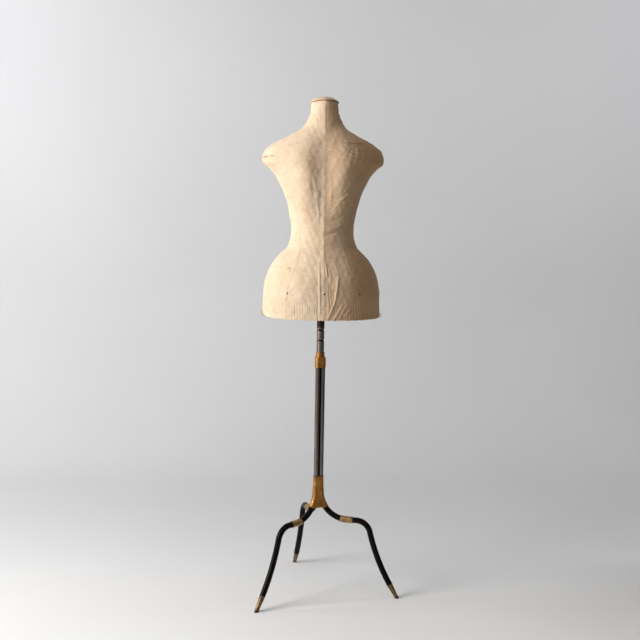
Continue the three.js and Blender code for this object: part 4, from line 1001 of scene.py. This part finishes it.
def cloth_relief(turn, z, x):
    """How far the cloth stands off its plain face: seams, folds, creases and general unevenness."""
    relief = 0.55 * waves(x, z, 46, 3) + 0.40 * waves(x, z, 15, 4)
    relief = relief + 0.19 * waves(x, z, 7, 5)
    wander = 6 * waves(x, z, 90, 6)
    folds = FOLD_STRENGTH * sum(fold_height(*fold, x, z) for fold in FOLDS)
    # upright gathers above the hem: own left, own right and beside the middle
    upright = creases(math.pi * (x + 0.03 * (z - HEM_Z) * np.sign(x) + 0.5 * wander) / 7.5)
    folds = folds + 1.7 * upright * within(8, 22, 92, 104, x) * smooth(968, 925, z)
    folds = folds + 1.9 * upright * within(-118, -104, -75, -60, x) * smooth(975, 935, z)
    folds = folds + 1.8 * upright * within(-48, -38, -12, -6, x) * smooth(1010, 985, z)
    # a crumpled patch on the own right shoulder blade
    crumpled = creases((0.9 * x + 0.4 * z + 2 * wander) / 5.5) + creases((0.25 * x - z + 2 * wander) / 4.6)
    folds = folds + 2.0 * crumpled * bell(x + 96, 40) * bell(z - 1400, 38)
    # rows of creases: slanting and level on the neck, dragged and shallow on the own right of the
    # waist, hanging between the shoulders
    slanting = creases((0.75 * x - z + wander) * math.pi / 8.5)
    folds = folds + 2.8 * slanting * smooth(-3, -9, x) * within(1480, 1496, 1538, 1547, z)
    level = creases((z + 0.15 * x + wander) * math.pi / 9)
    folds = folds + 0.45 * level * smooth(4, 14, x) * within(1490, 1500, 1538, 1547, z)
    dragged = creases((z + 0.6 * x + 1.5 * wander) * math.pi / 11)
    folds = folds + 0.75 * dragged * smooth(-6, -22, x) * within(1130, 1165, 1290, 1330, z)
    shallow = creases((0.25 * x + z + 1.2 * wander) * math.pi / 8)
    folds = folds + 0.6 * shallow * smooth(-2, -12, x) * within(1100, 1120, 1165, 1185, z)
    hanging = creases((x - 0.12 * (z - 1300) + wander) * math.pi / 9)
    folds = folds + 0.4 * hanging * within(3, 12, 60, 80, np.abs(x)) * within(1185, 1230, 1410, 1450, z)
    on_back = smooth(0.0, 0.3, np.cos(turn))
    return relief + on_back * folds + seam_relief(turn, z, x)


def past_seam(turn, angle, side):
    """Turn past the seam that stands at an angle on one side, towards the side of the body."""
    beyond = turn - side * angle
    return np.arctan2(np.sin(beyond), np.cos(beyond)) * side


def seam_relief(turn, z, x):
    """Each seam is a faint groove, beside the flat ridge of the edge turned in under the cloth."""
    backwards = np.cos(turn)
    half_width = through(STATION_Z, HALF, z)
    relief = np.where(backwards > 0, 0.45 * within(-0.8, 0.8, 5, 12, x), 0)
    below_arm = smooth(ARM_PLATE_HIGH_Z + 2, ARM_PLATE_HIGH_Z - 2, z)
    for angle in (seam_turn(z), math.pi - seam_turn(z)):
        for side in (1, -1):
            off = past_seam(turn, angle, side) * half_width
            relief = relief + 0.35 * within(-1, 3, 8, 24, off) * below_arm
            relief = relief - 0.50 * bell(off, 1.5) * below_arm
    side_seam = (np.abs(np.arctan2(np.sin(turn), np.cos(turn))) - math.pi / 2) * np.maximum(
        np.where(backwards > 0, through(STATION_Z, BACK, z), through(STATION_Z, FRONT, z)), 20)
    relief = relief - 0.25 * bell(side_seam, 1.6) * np.where(
        (z < ARM_PLATE_LOW_Z) | (z > ARM_PLATE_HIGH_Z), 1, 0)
    beyond = np.abs(np.cos(turn)) < np.cos(seam_turn(z))
    for edge in (ARM_PLATE_LOW_Z, ARM_PLATE_HIGH_Z):
        relief = relief - np.where(beyond, 0.22 * bell(z - edge, 1.8), 0)
    return relief


# Marks on the cloth: x, z, half width and half height of each, and how dark it is.
MARKS = [
    (110, TACK_Z, 5, 6, 0.28),
    (0, TACK_Z, 5, 6, 0.22),
    (-110, TACK_Z, 6, 7, 0.40),
    (104, 1049, 3.5, 4, 0.7),
    (-114, 938, 2, 26, 0.35),
    (104, 940, 1.6, 24, 0.4),
    (39, 1343, 4, 3, 0.5),
    (57, 1346, 3, 3, 0.35),
    (160, 1388, 11, 2.2, 0.85),
    (181, 1386, 8, 4, 0.75),
    # painted shade: the next two marks darken the hollow beside the own left shoulder blade
    (45, 1373, 14, 22, 0.10),
    (43, 1300, 5, 22, 0.14),
    (-84, 1429, 30, 2.6, 0.42),
    (-122, 1413, 22, 6, 0.16),
    (-112, 1394, 14, 12, 0.14),
    (62, 1462, 10, 8, 0.06),
    (-60, 1180, 26, 14, 0.09),
    (30, 935, 30, 20, 0.05),
    (-140, 900, 30, 9, 0.12),
]


def stain_and_shade_strength(turn, z, x):
    """Rust round the tacks, small marks, a soiled hem and scattered spots, with painted shade in dark lines
    along the side-back seams below the arm plates and in the hollow beside the own left shoulder blade.
    """
    backwards = np.cos(turn)
    strength = 0.10 * smooth(0.9, 1.9, waves(x, z, 60, 8)) + 0.16 * smooth(HEM_Z + 7, HEM_Z, z)
    marks = 0
    for at_x, at_z, wide, high, dark in MARKS:
        marks = marks + dark * bell(x - at_x, wide) * bell(z - at_z, high)
    below_arm = smooth(ARM_PLATE_LOW_Z + 2, ARM_PLATE_LOW_Z - 30, z)
    # painted shade: dark lines along the side-back seams, darker on the own left
    for side, dark in ((1, 0.34), (-1, 0.24)):
        off = past_seam(turn, seam_turn(z), side) * through(STATION_Z, HALF, z)
        strength = strength + dark * bell(off, 1.0) * below_arm
    strength = strength + np.where(backwards > 0, marks, 0)
    return np.clip(strength, 0, 1)


def tan_and_shade_strength(turn, x, z):
    """Painted shade in a darker warm brown: over the own right half, which turns away from the light, most
    beyond its side seam, on the own right of the neck, and in the own left hollow beside the shoulder blade.
    """
    edge = 0.60 * smooth(-20, -150, x) + 0.10 * waves(x, z, 90, 9)
    edge = edge + 0.14 * smooth(0, 0.05, past_seam(turn, seam_turn(z), -1)) * smooth(ARM_PLATE_LOW_Z, 1280, z)
    neck = 0.28 * smooth(1470, 1500, z) * smooth(4, -10, x)
    hollow = 0.26 * bell(x - 35, 34) * within(1180, 1270, 1420, 1475, z) * (np.cos(turn) > 0)
    return np.clip(0.40 * smooth(1.5, -1.5, x) + edge + neck + hollow, 0, 1)


# ---- cover and shell ----
COLUMN_COUNTS = (56, 28, 24, 24)       # grid columns of the four panels of one side, from the back


def column_turns(z, counts):
    """Turn of each grid column at each height, all the way round, for a column of heights."""
    seam = seam_turn(z)
    none = np.zeros_like(seam)
    stops = [none, seam, none + math.pi / 2, math.pi - seam, none + math.pi]
    half = []
    for i, count in enumerate(counts):
        for j in range(count):
            eased = mix(j / count, (1 - math.cos(math.pi * j / count)) / 2, 0.45)
            half.append(mix(stops[i], stops[i + 1], eased))
    left = np.stack(half, axis=1)
    right = -np.stack([stops[4]] + half[:0:-1], axis=1)
    return np.concatenate([left, right], axis=1)


def panel_map(rows, counts):
    """Which panel each grid cell belongs to, as an array of names."""
    half = sum(counts)
    first_edges = np.cumsum(counts)
    names = np.empty((len(rows) - 1, 2 * half), dtype=object)
    middles = (rows[1:] + rows[:-1]) / 2
    for column in range(2 * half):
        on_left = column < half
        along = column if on_left else 2 * half - 1 - column
        panel = int(np.searchsorted(first_edges, along, side="right"))
        side = "left" if on_left else "right"
        face = "back" if panel < 2 else "front"
        outer = panel in (1, 2)
        for row, z in enumerate(middles):
            if outer and ARM_PLATE_LOW_Z < z < ARM_PLATE_HIGH_Z:
                names[row, column] = f"arm_plate_{side}"
            elif outer and z < ARM_PLATE_LOW_Z:
                names[row, column] = f"cover_side_{face}_{side}"
            else:
                names[row, column] = f"cover_centre_{face}_{side}"
    return names


def thin_body(owned, outer, inner):
    """A closed sheet over the owned cells of a grid that closes on itself sideways.
    Gives its points, its faces and the (row, column) of each point."""
    rows, columns = owned.shape
    used = np.zeros((rows + 1, columns), bool)
    for i, j in ((0, 0), (1, 0), (0, 1), (1, 1)):
        used[i:rows + i] |= np.roll(owned, j, axis=1)
    index = np.full(used.shape, -1)
    index[used] = np.arange(used.sum())
    count = int(used.sum())
    cells = np.argwhere(owned)
    r, c = cells[:, 0], cells[:, 1]
    n = (c + 1) % columns
    corners = np.stack([index[r, c], index[r, n], index[r + 1, n], index[r + 1, c]], axis=1)
    faces = [tuple(f) for f in corners] + [tuple(f[::-1] + count) for f in corners]
    for (row, column), ring in zip(cells, corners):
        after, before = (column + 1) % columns, (column - 1) % columns
        beside = ((row - 1, column), (row, after), (row + 1, column), (row, before))
        for side, (i, j) in enumerate(beside):
            if i < 0 or i >= rows or not owned[i, j]:
                a, b = ring[side], ring[(side + 1) % 4]
                faces.append((b, a, a + count, b + count))
    where = np.argwhere(used)
    points = np.concatenate([outer[used], inner[used]])
    return points, faces, np.concatenate([where, where])


def cover_rows():
    """Row heights: even steps that land on both edges of the arm plates."""
    zones = [HEM_Z, ARM_PLATE_LOW_Z, ARM_PLATE_HIGH_Z, NECK_TOP_Z]
    step = 2.6
    rows = [np.linspace(a, b, int(round((b - a) / step)) + 1)[:-1] for a, b in zip(zones, zones[1:])]
    return np.concatenate(rows + [[NECK_TOP_Z]])


def grid_normals(grid):
    """Unit vectors square to a grid of points that closes on itself sideways."""
    along = np.roll(grid, -1, axis=1) - np.roll(grid, 1, axis=1)
    up = np.gradient(grid, axis=0)
    normal = np.cross(up, along)
    return normal / np.linalg.norm(normal, axis=-1, keepdims=True)


def flat_size(points, outer_faces):
    """Size of the cut a panel was made from: its area, and the width of a rectangle of its height."""
    a, b, c, d = np.moveaxis(points[np.array(outer_faces)], 1, 0)
    area = 0.5 * np.linalg.norm(np.cross(c - a, d - b), axis=1).sum()
    height = np.ptp(points[:, 2]) * 1.04
    return area * MM * MM, height * MM


def hem_rise(turns, heights):
    """How far the hem is pulled up at its two corners, more at the own left."""
    corner = 11 * bell(turns - HEM_CORNER, 0.42) + 5.5 * bell(turns + HEM_CORNER, 0.34)
    return corner * smooth(HEM_Z + 45, HEM_Z, heights)


def build_cover():
    """The canvas panels, cut from one grid so that they meet, with each one's area and height."""
    rows = cover_rows()
    turns = column_turns(rows, COLUMN_COUNTS)
    heights = np.repeat(rows[:, None], turns.shape[1], axis=1)
    base = body_points(turns, heights)
    normal = outward(turns, heights)
    x = base[..., 0]
    lift = form_relief(turns, heights, x) + np.maximum(cloth_relief(turns, heights, x), -DEEPEST_CREASE)
    outer = base + normal * lift[..., None]
    ragged = 1.3 * waves(turns * 100, 0, 9, 21) + 0.9 * waves(turns * 100, 0, 3.1, 22)
    outer[0, :, 2] += np.clip(ragged[0], -1.2, 3.0)
    outer[..., 2] += hem_rise(turns, heights)
    inner = outer - normal * (CANVAS_THICKNESS - 0.25)
    shading = grid_normals(outer)
    stain_and_shade = stain_and_shade_strength(turns, heights, x)
    # the tan attribute holds painted shade
    tan = tan_and_shade_strength(turns, x, heights)
    girth = np.cumsum(np.hypot(np.diff(x, axis=1, prepend=x[:, :1]),
                               np.diff(base[..., 1], axis=1, prepend=base[:, :1, 1])), axis=1)
    names = panel_map(rows, COLUMN_COUNTS)
    panels = {}
    for name in sorted(set(names.ravel())):
        owned = names == name
        points, faces, where = thin_body(owned, outer, inner)
        label = name.replace("cover", "canvas").replace("arm_plate", "canvas_arm_plate")
        obj = make_object(label, points, faces, CANVAS, "torso")
        row, column = where[:, 0], where[:, 1]
        half = len(row) // 2
        shade_sheet(obj, shading[row[:half], column[:half]], int(owned.sum()))
        set_vector(obj, "cloth", np.stack([girth[row, column] * MM, heights[row, column] * MM,
                                           np.zeros(len(row))], axis=1))
        set_attribute(obj, "stain_and_shade", stain_and_shade[row, column])
        set_attribute(obj, "tan", tan[row, column])
        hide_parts(name)
        area, height = flat_size(points, faces[:int(owned.sum())])
        panels[name] = (obj, area, height)
    return panels


def build_shell():
    """The paper shell: two halves joined at the sides, which shows from below."""
    counts = (12, 10, 10, 10)
    rows = np.linspace(HEM_Z, NECK_TOP_Z, 80)
    turns = column_turns(rows, counts)
    heights = np.repeat(rows[:, None], turns.shape[1], axis=1)
    base = body_points(turns, heights)
    normal = outward(turns, heights)
    relief = form_relief(turns, heights, base[..., 0])
    top = relief - DEEPEST_CREASE - CANVAS_THICKNESS
    rough = 0.5 * waves(heights, turns * 100, 24, 31)
    outer = base + normal * top[..., None]
    inner = base + normal * (relief - CANVAS_THICKNESS - SHELL_GAP - SHELL_THICKNESS + rough)[..., None]
    for face in (outer, inner):
        face[..., 2] += hem_rise(turns, heights)
    columns = turns.shape[1]
    quarter = counts[0] + counts[1]
    in_back = np.zeros(columns, bool)
    in_back[:quarter] = True
    in_back[-quarter:] = True
    for label, mask in (("shell_back", in_back), ("shell_front", ~in_back)):
        owned = np.repeat(mask[None, :], len(rows) - 1, axis=0)
        points, faces, _ = thin_body(owned, outer, inner)
        obj = make_object("paper_" + label, points, faces, PAPER, "torso")
        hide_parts(label)


def build_board():
    """The wooden base board, with the sleeve's hole in its middle."""
    segments = 120
    turns = np.arange(segments) * 2 * math.pi / segments
    z = np.full(segments, float(BOARD_Z))
    edge = body_points(turns, z) - outward(turns, z) * (CANVAS_THICKNESS + SHELL_GAP + SHELL_THICKNESS + 2.6)
    hole_r = SLEEVE_R + 0.6
    facing = np.arctan2(edge[:, 1], edge[:, 0])
    hole = np.stack([hole_r * np.cos(facing), hole_r * np.sin(facing), z], axis=1)
    half = BOARD_THICKNESS / 2
    rim = 1.5
    rings = []
    for ring, height, share in ((hole, half, 1), (edge, half, 0.988), (edge, half - rim, 1),
                                (edge, rim - half, 1), (edge, -half, 0.988), (hole, -half, 1)):
        points = ring * np.array([share, share, 0]) + np.array([0, 0, BOARD_Z + height])
        rings.append(points)
    points, faces = loft(rings, loop=True)
    obj = make_object("board", points, faces, WOOD, "torso", smooth_faces=False)
    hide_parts("base_board")


# ---- neck ----
NECK_Y = (BACK[-1] - FRONT[-1]) / 2
NECK_R = HALF[-1]


def on_neck(points):
    """Tips points that are square to +Z on to the neck's slanting top."""
    c, s = math.cos(NECK_SLANT), math.sin(NECK_SLANT)
    points = np.asarray(points, float)
    x, y, z = points[..., 0], points[..., 1], points[..., 2]
    middle_z = NECK_TOP_Z + NECK_Y * math.tan(NECK_SLANT)
    return np.stack([x, y * c - z * s + NECK_Y, y * s + z * c + middle_z], axis=-1)


def build_neck():
    """The band round the top of the neck, dark with painted shade on its own right, and the domed cap on it.
    """
    band = [(NECK_R - 3, 0.7), (NECK_R - 0.4, 0.7), (NECK_R + 0.3, 1.1), (NECK_R + 0.3, 1.7),
            (NECK_R - 0.4, 2.1), (NECK_R - 3, 2.1)]
    points, faces = loft(lathe(band, 96))
    points = on_neck(points)
    obj = make_object("neck_line", points, faces, BAND, "torso")
    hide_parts("neck_band")

    bottom, dome_high = 2.5, 16.0
    radius = NECK_R + 2.2
    dome_r, dome_low = radius - 0.6, bottom + 3
    profile = [(radius - 2.2, bottom), (radius - 0.8, bottom + 0.2), (radius - 0.2, bottom + 0.9),
               (radius, bottom + 1.6), (radius - 0.1, bottom + 2.5)]
    arc_r = (dome_r**2 + dome_high**2) / (2 * dome_high)
    arc_centre_z = dome_low + dome_high - arc_r
    steps = 30
    for i in range(steps):
        turn = math.asin(dome_r / arc_r) * (1 - i / steps)
        profile.append((arc_r * math.sin(turn), arc_centre_z + arc_r * math.cos(turn)))
    rings = np.array(lathe(profile, 144))
    rim_share = smooth(0.0, radius, np.hypot(rings[..., 0], rings[..., 1]))
    across, along = rings[..., 0], rings[..., 1]
    swell = 0.35 * waves(across, along, 16, 41) + 0.15 * waves(across, along, 6, 42)
    rings[2:, :, 2] += swell[2:] * 0.8
    scale = 1 + 0.0035 * waves(np.arctan2(rings[..., 1], rings[..., 0]) * radius, 0, 12, 43) * rim_share
    rings[..., 0] *= scale
    rings[..., 1] *= scale
    points, faces = loft(rings)
    flat = points.copy()
    points = on_neck(points)
    obj = make_object("cap", points, faces, CANVAS, "torso")
    set_vector(obj, "cloth", flat * MM)
    radial = np.hypot(flat[:, 0], flat[:, 1])
    # the cap's own right half gets the same painted shade
    set_attribute(obj, "tan", tan_and_shade_strength(np.zeros(len(flat)), flat[:, 0], flat[:, 2]))
    # darker round the foot of the rim, and a little all over
    set_attribute(obj, "stain_and_shade", np.clip(0.30 * smooth(radius - 3, radius, radial)
                                        * smooth(bottom + 3, bottom, flat[:, 2]) + 0.05, 0, 1))
    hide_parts("neck_cap")


# ---- small pieces of the torso ----
def surface_place(x, z, off):
    """A point on the back at an x and a height, standing off it, with the outward vector there."""
    turns = np.linspace(-math.pi / 2, math.pi / 2, 721)
    at = body_points(turns, np.full(turns.shape, float(z)))
    turn = float(np.interp(x, at[:, 0], turns))
    turn, z = np.array([turn]), np.array([float(z)])
    point, normal = body_points(turn, z), outward(turn, z)
    lift = form_relief(turn, z, point[:, 0]) + cloth_relief(turn, z, point[:, 0])
    return (point + normal * (lift[:, None] + off))[0], normal[0]


def tube(path, radius, segments=6):
    """A thin closed tube along a path of points."""
    path = np.asarray(path, float)
    ways = np.gradient(path, axis=0)
    ways /= np.linalg.norm(ways, axis=1, keepdims=True)
    rings = []
    side = np.cross(ways[0], (0.31, 0.52, 0.79))
    for point, way in zip(path, ways):
        side = side - way * (side @ way)
        side = side / np.linalg.norm(side)
        other = np.cross(way, side)
        turns = np.arange(segments) * 2 * math.pi / segments
        rings.append(point + radius * (np.outer(np.cos(turns), side) + np.outer(np.sin(turns), other)))
    points, faces = loft(rings)
    return points, facing_out(points, faces)


TACK_SEAMS = [0, 1, 3, 4, 5, 7]


def build_tacks():
    """Small domed tacks on the seams, each where its CAD tack stands."""
    for number in range(1, len(TACK_SEAMS) + 1):
        seam = TACK_SEAMS[number - 1]
        z = np.array([float(TACK_Z)])
        quarter = math.pi / 2
        stops = [0, seam_turn(z)[0], quarter, 2 * quarter - seam_turn(z)[0], 2 * quarter]
        turn = np.array([stops[seam] if seam <= 4 else -stops[8 - seam]])
        point, way = body_points(turn, z), outward(turn, z)
        lift = form_relief(turn, z, point[:, 0]) + cloth_relief(turn, z, point[:, 0])
        point, way = (point + way * lift[:, None])[0], way[0]
        profile = [(0.8, -6), (0.9, 0.2), (2.3, 0.25), (2.5, 0.5), (2.3, 0.8), (1.9, 1.1), (1.2, 1.4),
                   (0.5, 1.5)]
        points, faces = loft(lathe(profile, 28))
        spin = Vector((0, 0, 1)).rotation_difference(Vector(way)).to_matrix()
        points = points @ np.array(spin).T + point
        obj = make_object(f"tack_head_{number}", points, faces, IRON, "torso")
        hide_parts(f"tack_{number}")


def thread_path(start, way, length, seed, droop=1.0, steps=7):
    """A loose thread that leaves in a direction, droops and curls a little."""
    rng = np.random.default_rng(seed)
    point = np.array(start, float)
    way = np.array(way, float)
    path = [point.copy()]
    curl = rng.normal(0, 0.28, 3)
    for _ in range(steps):
        way = way + np.array([0, 0, -0.35 * droop]) + curl + rng.normal(0, 0.16, 3)
        way = way / np.linalg.norm(way)
        point = point + way * length / steps
        path.append(point.copy())
    return path


def hem_point(turn, above):
    """A point on the cover this far above the hem, with the outward vector there."""
    turn, z = np.array([turn]), np.array([HEM_Z + above])
    point = body_points(turn, z)[0]
    point[2] += hem_rise(turn, z)[0]
    return point, outward(turn, z)[0]


# The longest threads: turn from the middle of the back in degrees, length, and how far outwards.
LONG_THREADS = [(95.79, 32, 0.3), (91.14, 21, 0.6), (81.84, 13, 0.5), (-89.28, 16, 0.8),
                (-92.07, 11, 1.0), (-86.49, 22, 0.4), (-59.52, 34, 0.2), (-83.7, 8, 1.0),
                (-93.93, 9, 1.1)]


def build_threads():
    """Frayed threads along the raw hem, thicker at its two corners, and a loop at the neck."""
    rng = np.random.default_rng(77)
    parts = []
    for number in range(130):
        point, out = hem_point(rng.uniform(-math.pi, math.pi), 1.5)
        length = rng.gamma(2.0, 1.6) + 1.5
        way = out * rng.uniform(-0.3, 0.5) + np.array([rng.normal(0, 0.5), rng.normal(0, 0.3), -1])
        parts.append(tube(thread_path(point, way, length, 1000 + number, 0.4, 5), 0.17, 5))
    for number in range(190):
        side = 1 if number % 2 else -1
        point, out = hem_point(side * math.radians(rng.normal(96, 9)), rng.uniform(0.5, 5))
        way = out * rng.uniform(0.2, 1.3) + np.array([0, rng.normal(0, 0.5), rng.uniform(-1.0, 0.15)])
        length = rng.gamma(2.5, 2.6) + 2
        path = thread_path(point, way, length, 3000 + number, 0.5, 6)
        parts.append(tube(path, rng.uniform(0.16, 0.3), 5))
    for number, (degrees, length, outwards) in enumerate(LONG_THREADS):
        point, out = hem_point(math.radians(degrees), 2.0)
        way = out * outwards + np.array([0, 0, -0.8])
        parts.append(tube(thread_path(point, way, length, 500 + number, 0.8, 10), 0.2, 5))
    start, _ = surface_place(63, 1487, 0.2)
    loop = [start]
    for i in range(1, 13):
        share = i / 12
        loop.append(start + np.array([4.0 * share + 2.5 * math.sin(2 * math.pi * share), 2 * share,
                                      9 * math.sin(math.pi * share) - 1.0 * share]))
    parts.append(tube(loop, 0.28, 6))
    points, faces = merge(parts)
    return make_object("frayed_threads", points, faces, THREAD, "torso")


def build_darn():
    """A row of dark stitches high on the right shoulder blade."""
    rng = np.random.default_rng(12)
    parts = []
    x = -53.0
    while x > -112:
        length = rng.uniform(2.5, 6.5)
        z = 1429.5 - 0.03 * (-53 - x) + rng.normal(0, 0.5)
        ends = []
        for t in (0, 0.3, 0.7, 1):
            off = 0.15 + 0.35 * math.sin(math.pi * t)
            ends.append(surface_place(x - length * t, z + rng.normal(0, 0.15), off)[0])
        parts.append(tube(ends, 0.42 if rng.random() < 0.7 else 0.28, 6))
        x -= length + rng.uniform(0.6, 2.2)
    points, faces = merge(parts)
    return make_object("darn_stitches", points, faces, DARK_THREAD, "torso")


# ---- fittings that keep their CAD shape ----
def dress_cad_nodes():
    """Metal and wood for the hidden fittings, whose CAD shape is right as it is."""
    looks = {
        "slide_sleeve": BRASS, "sleeve_nut": BRASS, "catch_pin": STEEL, "catch_spring": STEEL,
        "catch_lever": IRON, "swivel_flange": IRON, "neck_plug": WOOD,
    }
    for number in range(1, 5):
        looks[f"flange_screw_{number}"] = STEEL
    for name, material in looks.items():
        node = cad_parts[name]
        node.data.materials.clear()
        node.data.materials.append(material)


# ---- setting ----
def build_setting():
    """A pale floor that curves up into a wall, seen past the object. Metres."""
    half, near_y, wall_y, rise, bend, steps = 6.0, 5.0, -2.1, 5.0, 0.9, 16
    profile = [(near_y, 0.0), (wall_y + bend, 0.0)]
    for i in range(1, steps + 1):
        turn = i / steps * math.pi / 2
        profile.append((wall_y + bend - bend * math.sin(turn), bend - bend * math.cos(turn)))
    profile.append((wall_y, rise))
    points, faces = [], []
    for y, z in profile:
        points += [(-half, y, z), (half, y, z)]
    for i in range(len(profile) - 1):
        faces.append((2 * i, 2 * i + 1, 2 * i + 3, 2 * i + 2))
    mesh = bpy.data.meshes.new("backdrop")
    mesh.from_pydata(points, [], faces)
    mesh.polygons.foreach_set("use_smooth", [True] * len(faces))
    look = Look("backdrop")
    cloudy = look.noise(600, 3, 0.5)
    on_wall = look.ramp(look.axes(look.place)[1], 0.9, -0.9)
    wall = look.blend(cloudy, (0.605, 0.610, 0.630), (0.655, 0.660, 0.680))
    ground = look.blend(cloudy, (0.84, 0.84, 0.84), (0.89, 0.89, 0.885))
    look.tone = look.blend(on_wall, ground, wall)
    look.colour()
    look.set(Roughness=0.85, Specular_IOR_Level=0.1)
    mesh.materials.append(look.material)
    backdrop = bpy.data.objects.new("backdrop", mesh)
    bpy.context.scene.collection.objects.link(backdrop)


def build_card():
    """A dark card beside the form, outside the picture, that keeps light off its own right. Metres."""
    x, near, far, top = -1.35, 2.4, -0.2, 2.4
    mesh = bpy.data.meshes.new("dark_card")
    mesh.from_pydata([(x, near, 0.02), (x, far, 0.02), (x, far, top), (x, near, top)], [], [(0, 1, 2, 3)])
    look = Look("dark_card")
    look.tone = look.blend(look.noise(40), (0.02, 0.02, 0.02), (0.03, 0.03, 0.03))
    look.colour()
    mesh.materials.append(look.material)
    card = bpy.data.objects.new("dark_card", mesh)
    bpy.context.scene.collection.objects.link(card)
    card.visible_camera = False        # it shades the form and never stands in the way of a view


def area_light(name, place_at, aim, size, energy, colour=(1, 1, 1)):
    """A rectangular light at a place in metres, turned to its aim."""
    data = bpy.data.lights.new(name, "AREA")
    data.shape = "RECTANGLE"
    data.size, data.size_y = size
    data.energy = energy
    data.color = colour
    lamp = bpy.data.objects.new(name, data)
    lamp.location = place_at
    lamp.rotation_euler = (Vector(aim) - Vector(place_at)).to_track_quat("-Z", "Y").to_euler()
    bpy.context.scene.collection.objects.link(lamp)
    return data


def build_lights():
    """Soft daylight from the form's own left, with weak light from above and on the wall."""
    world = bpy.data.worlds.new("studio")
    bpy.context.scene.world = world
    world.use_nodes = True
    background = world.node_tree.nodes["Background"]
    background.inputs["Color"].default_value = (1.0, 0.90, 0.77, 1)
    background.inputs["Strength"].default_value = 0.14
    aim = (0.03, 0.04, 1.0)
    area_light("window", (3.05, 1.35, 1.9), aim, (1.7, 2.1), 138, (1.0, 0.985, 0.96))
    area_light("ceiling", (0.4, 1.2, 3.6), (0.0, -0.4, 0.6), (3.0, 3.0), 15)
    near = area_light("near_floor", (-1.5, 1.5, 2.2), (-0.95, 0.85, 0.0), (0.8, 0.8), 3.2)
    near.spread = math.radians(64)
    for side, energy in ((1, 21), (-1, 17)):
        area_light(f"wall_wash_{side}", (2.4 * side, -0.5, 2.4), (0.4 * side, -2.1, 1.1), (0.6, 2.0),
                   energy, (0.94, 0.97, 1.0))


def build_camera():
    """The camera stands behind the form, a little to its left, and looks slightly down."""
    distance, height = 3157 * MM, 1231 * MM
    turn, pitch, roll = math.radians(3.5), math.radians(6.32), 0.0178
    aside = math.radians(0.0455)       # the camera looks this much past the post's axis
    data = bpy.data.cameras.new("camera")
    data.sensor_width = 36.0
    data.lens = 56.644
    camera = bpy.data.objects.new("camera", data)
    eye = Vector((AXIS[0] + distance * math.sin(turn), AXIS[1] + distance * math.cos(turn), height))
    level = Vector((-math.sin(turn - aside), -math.cos(turn - aside), 0))
    forward = level * math.cos(pitch) + Vector((0, 0, -math.sin(pitch)))
    right = forward.cross(Vector((0, 0, 1))).normalized()
    up = right.cross(forward)
    tilted_right = right * math.cos(roll) + up * math.sin(roll)
    tilted_up = up * math.cos(roll) - right * math.sin(roll)
    axes = Matrix((tilted_right, tilted_up, -forward)).transposed()
    camera.matrix_world = Matrix.Translation(eye) @ axes.to_4x4()
    bpy.context.scene.collection.objects.link(camera)
    bpy.context.scene.camera = camera


# ---- everything ----
build_camera()
build_lights()
build_setting()
build_card()
for leg_number, leg_turn in enumerate(LEG_TURNS, 1):
    build_leg(leg_number, leg_turn)
build_hub()
build_collar()
build_pole()
cover = build_cover()
build_shell()
build_board()
build_neck()
build_tacks()
threads = build_threads()
darn = build_darn()
dress_cad_nodes()

bpy.context.scene.view_settings.view_transform = "Standard"
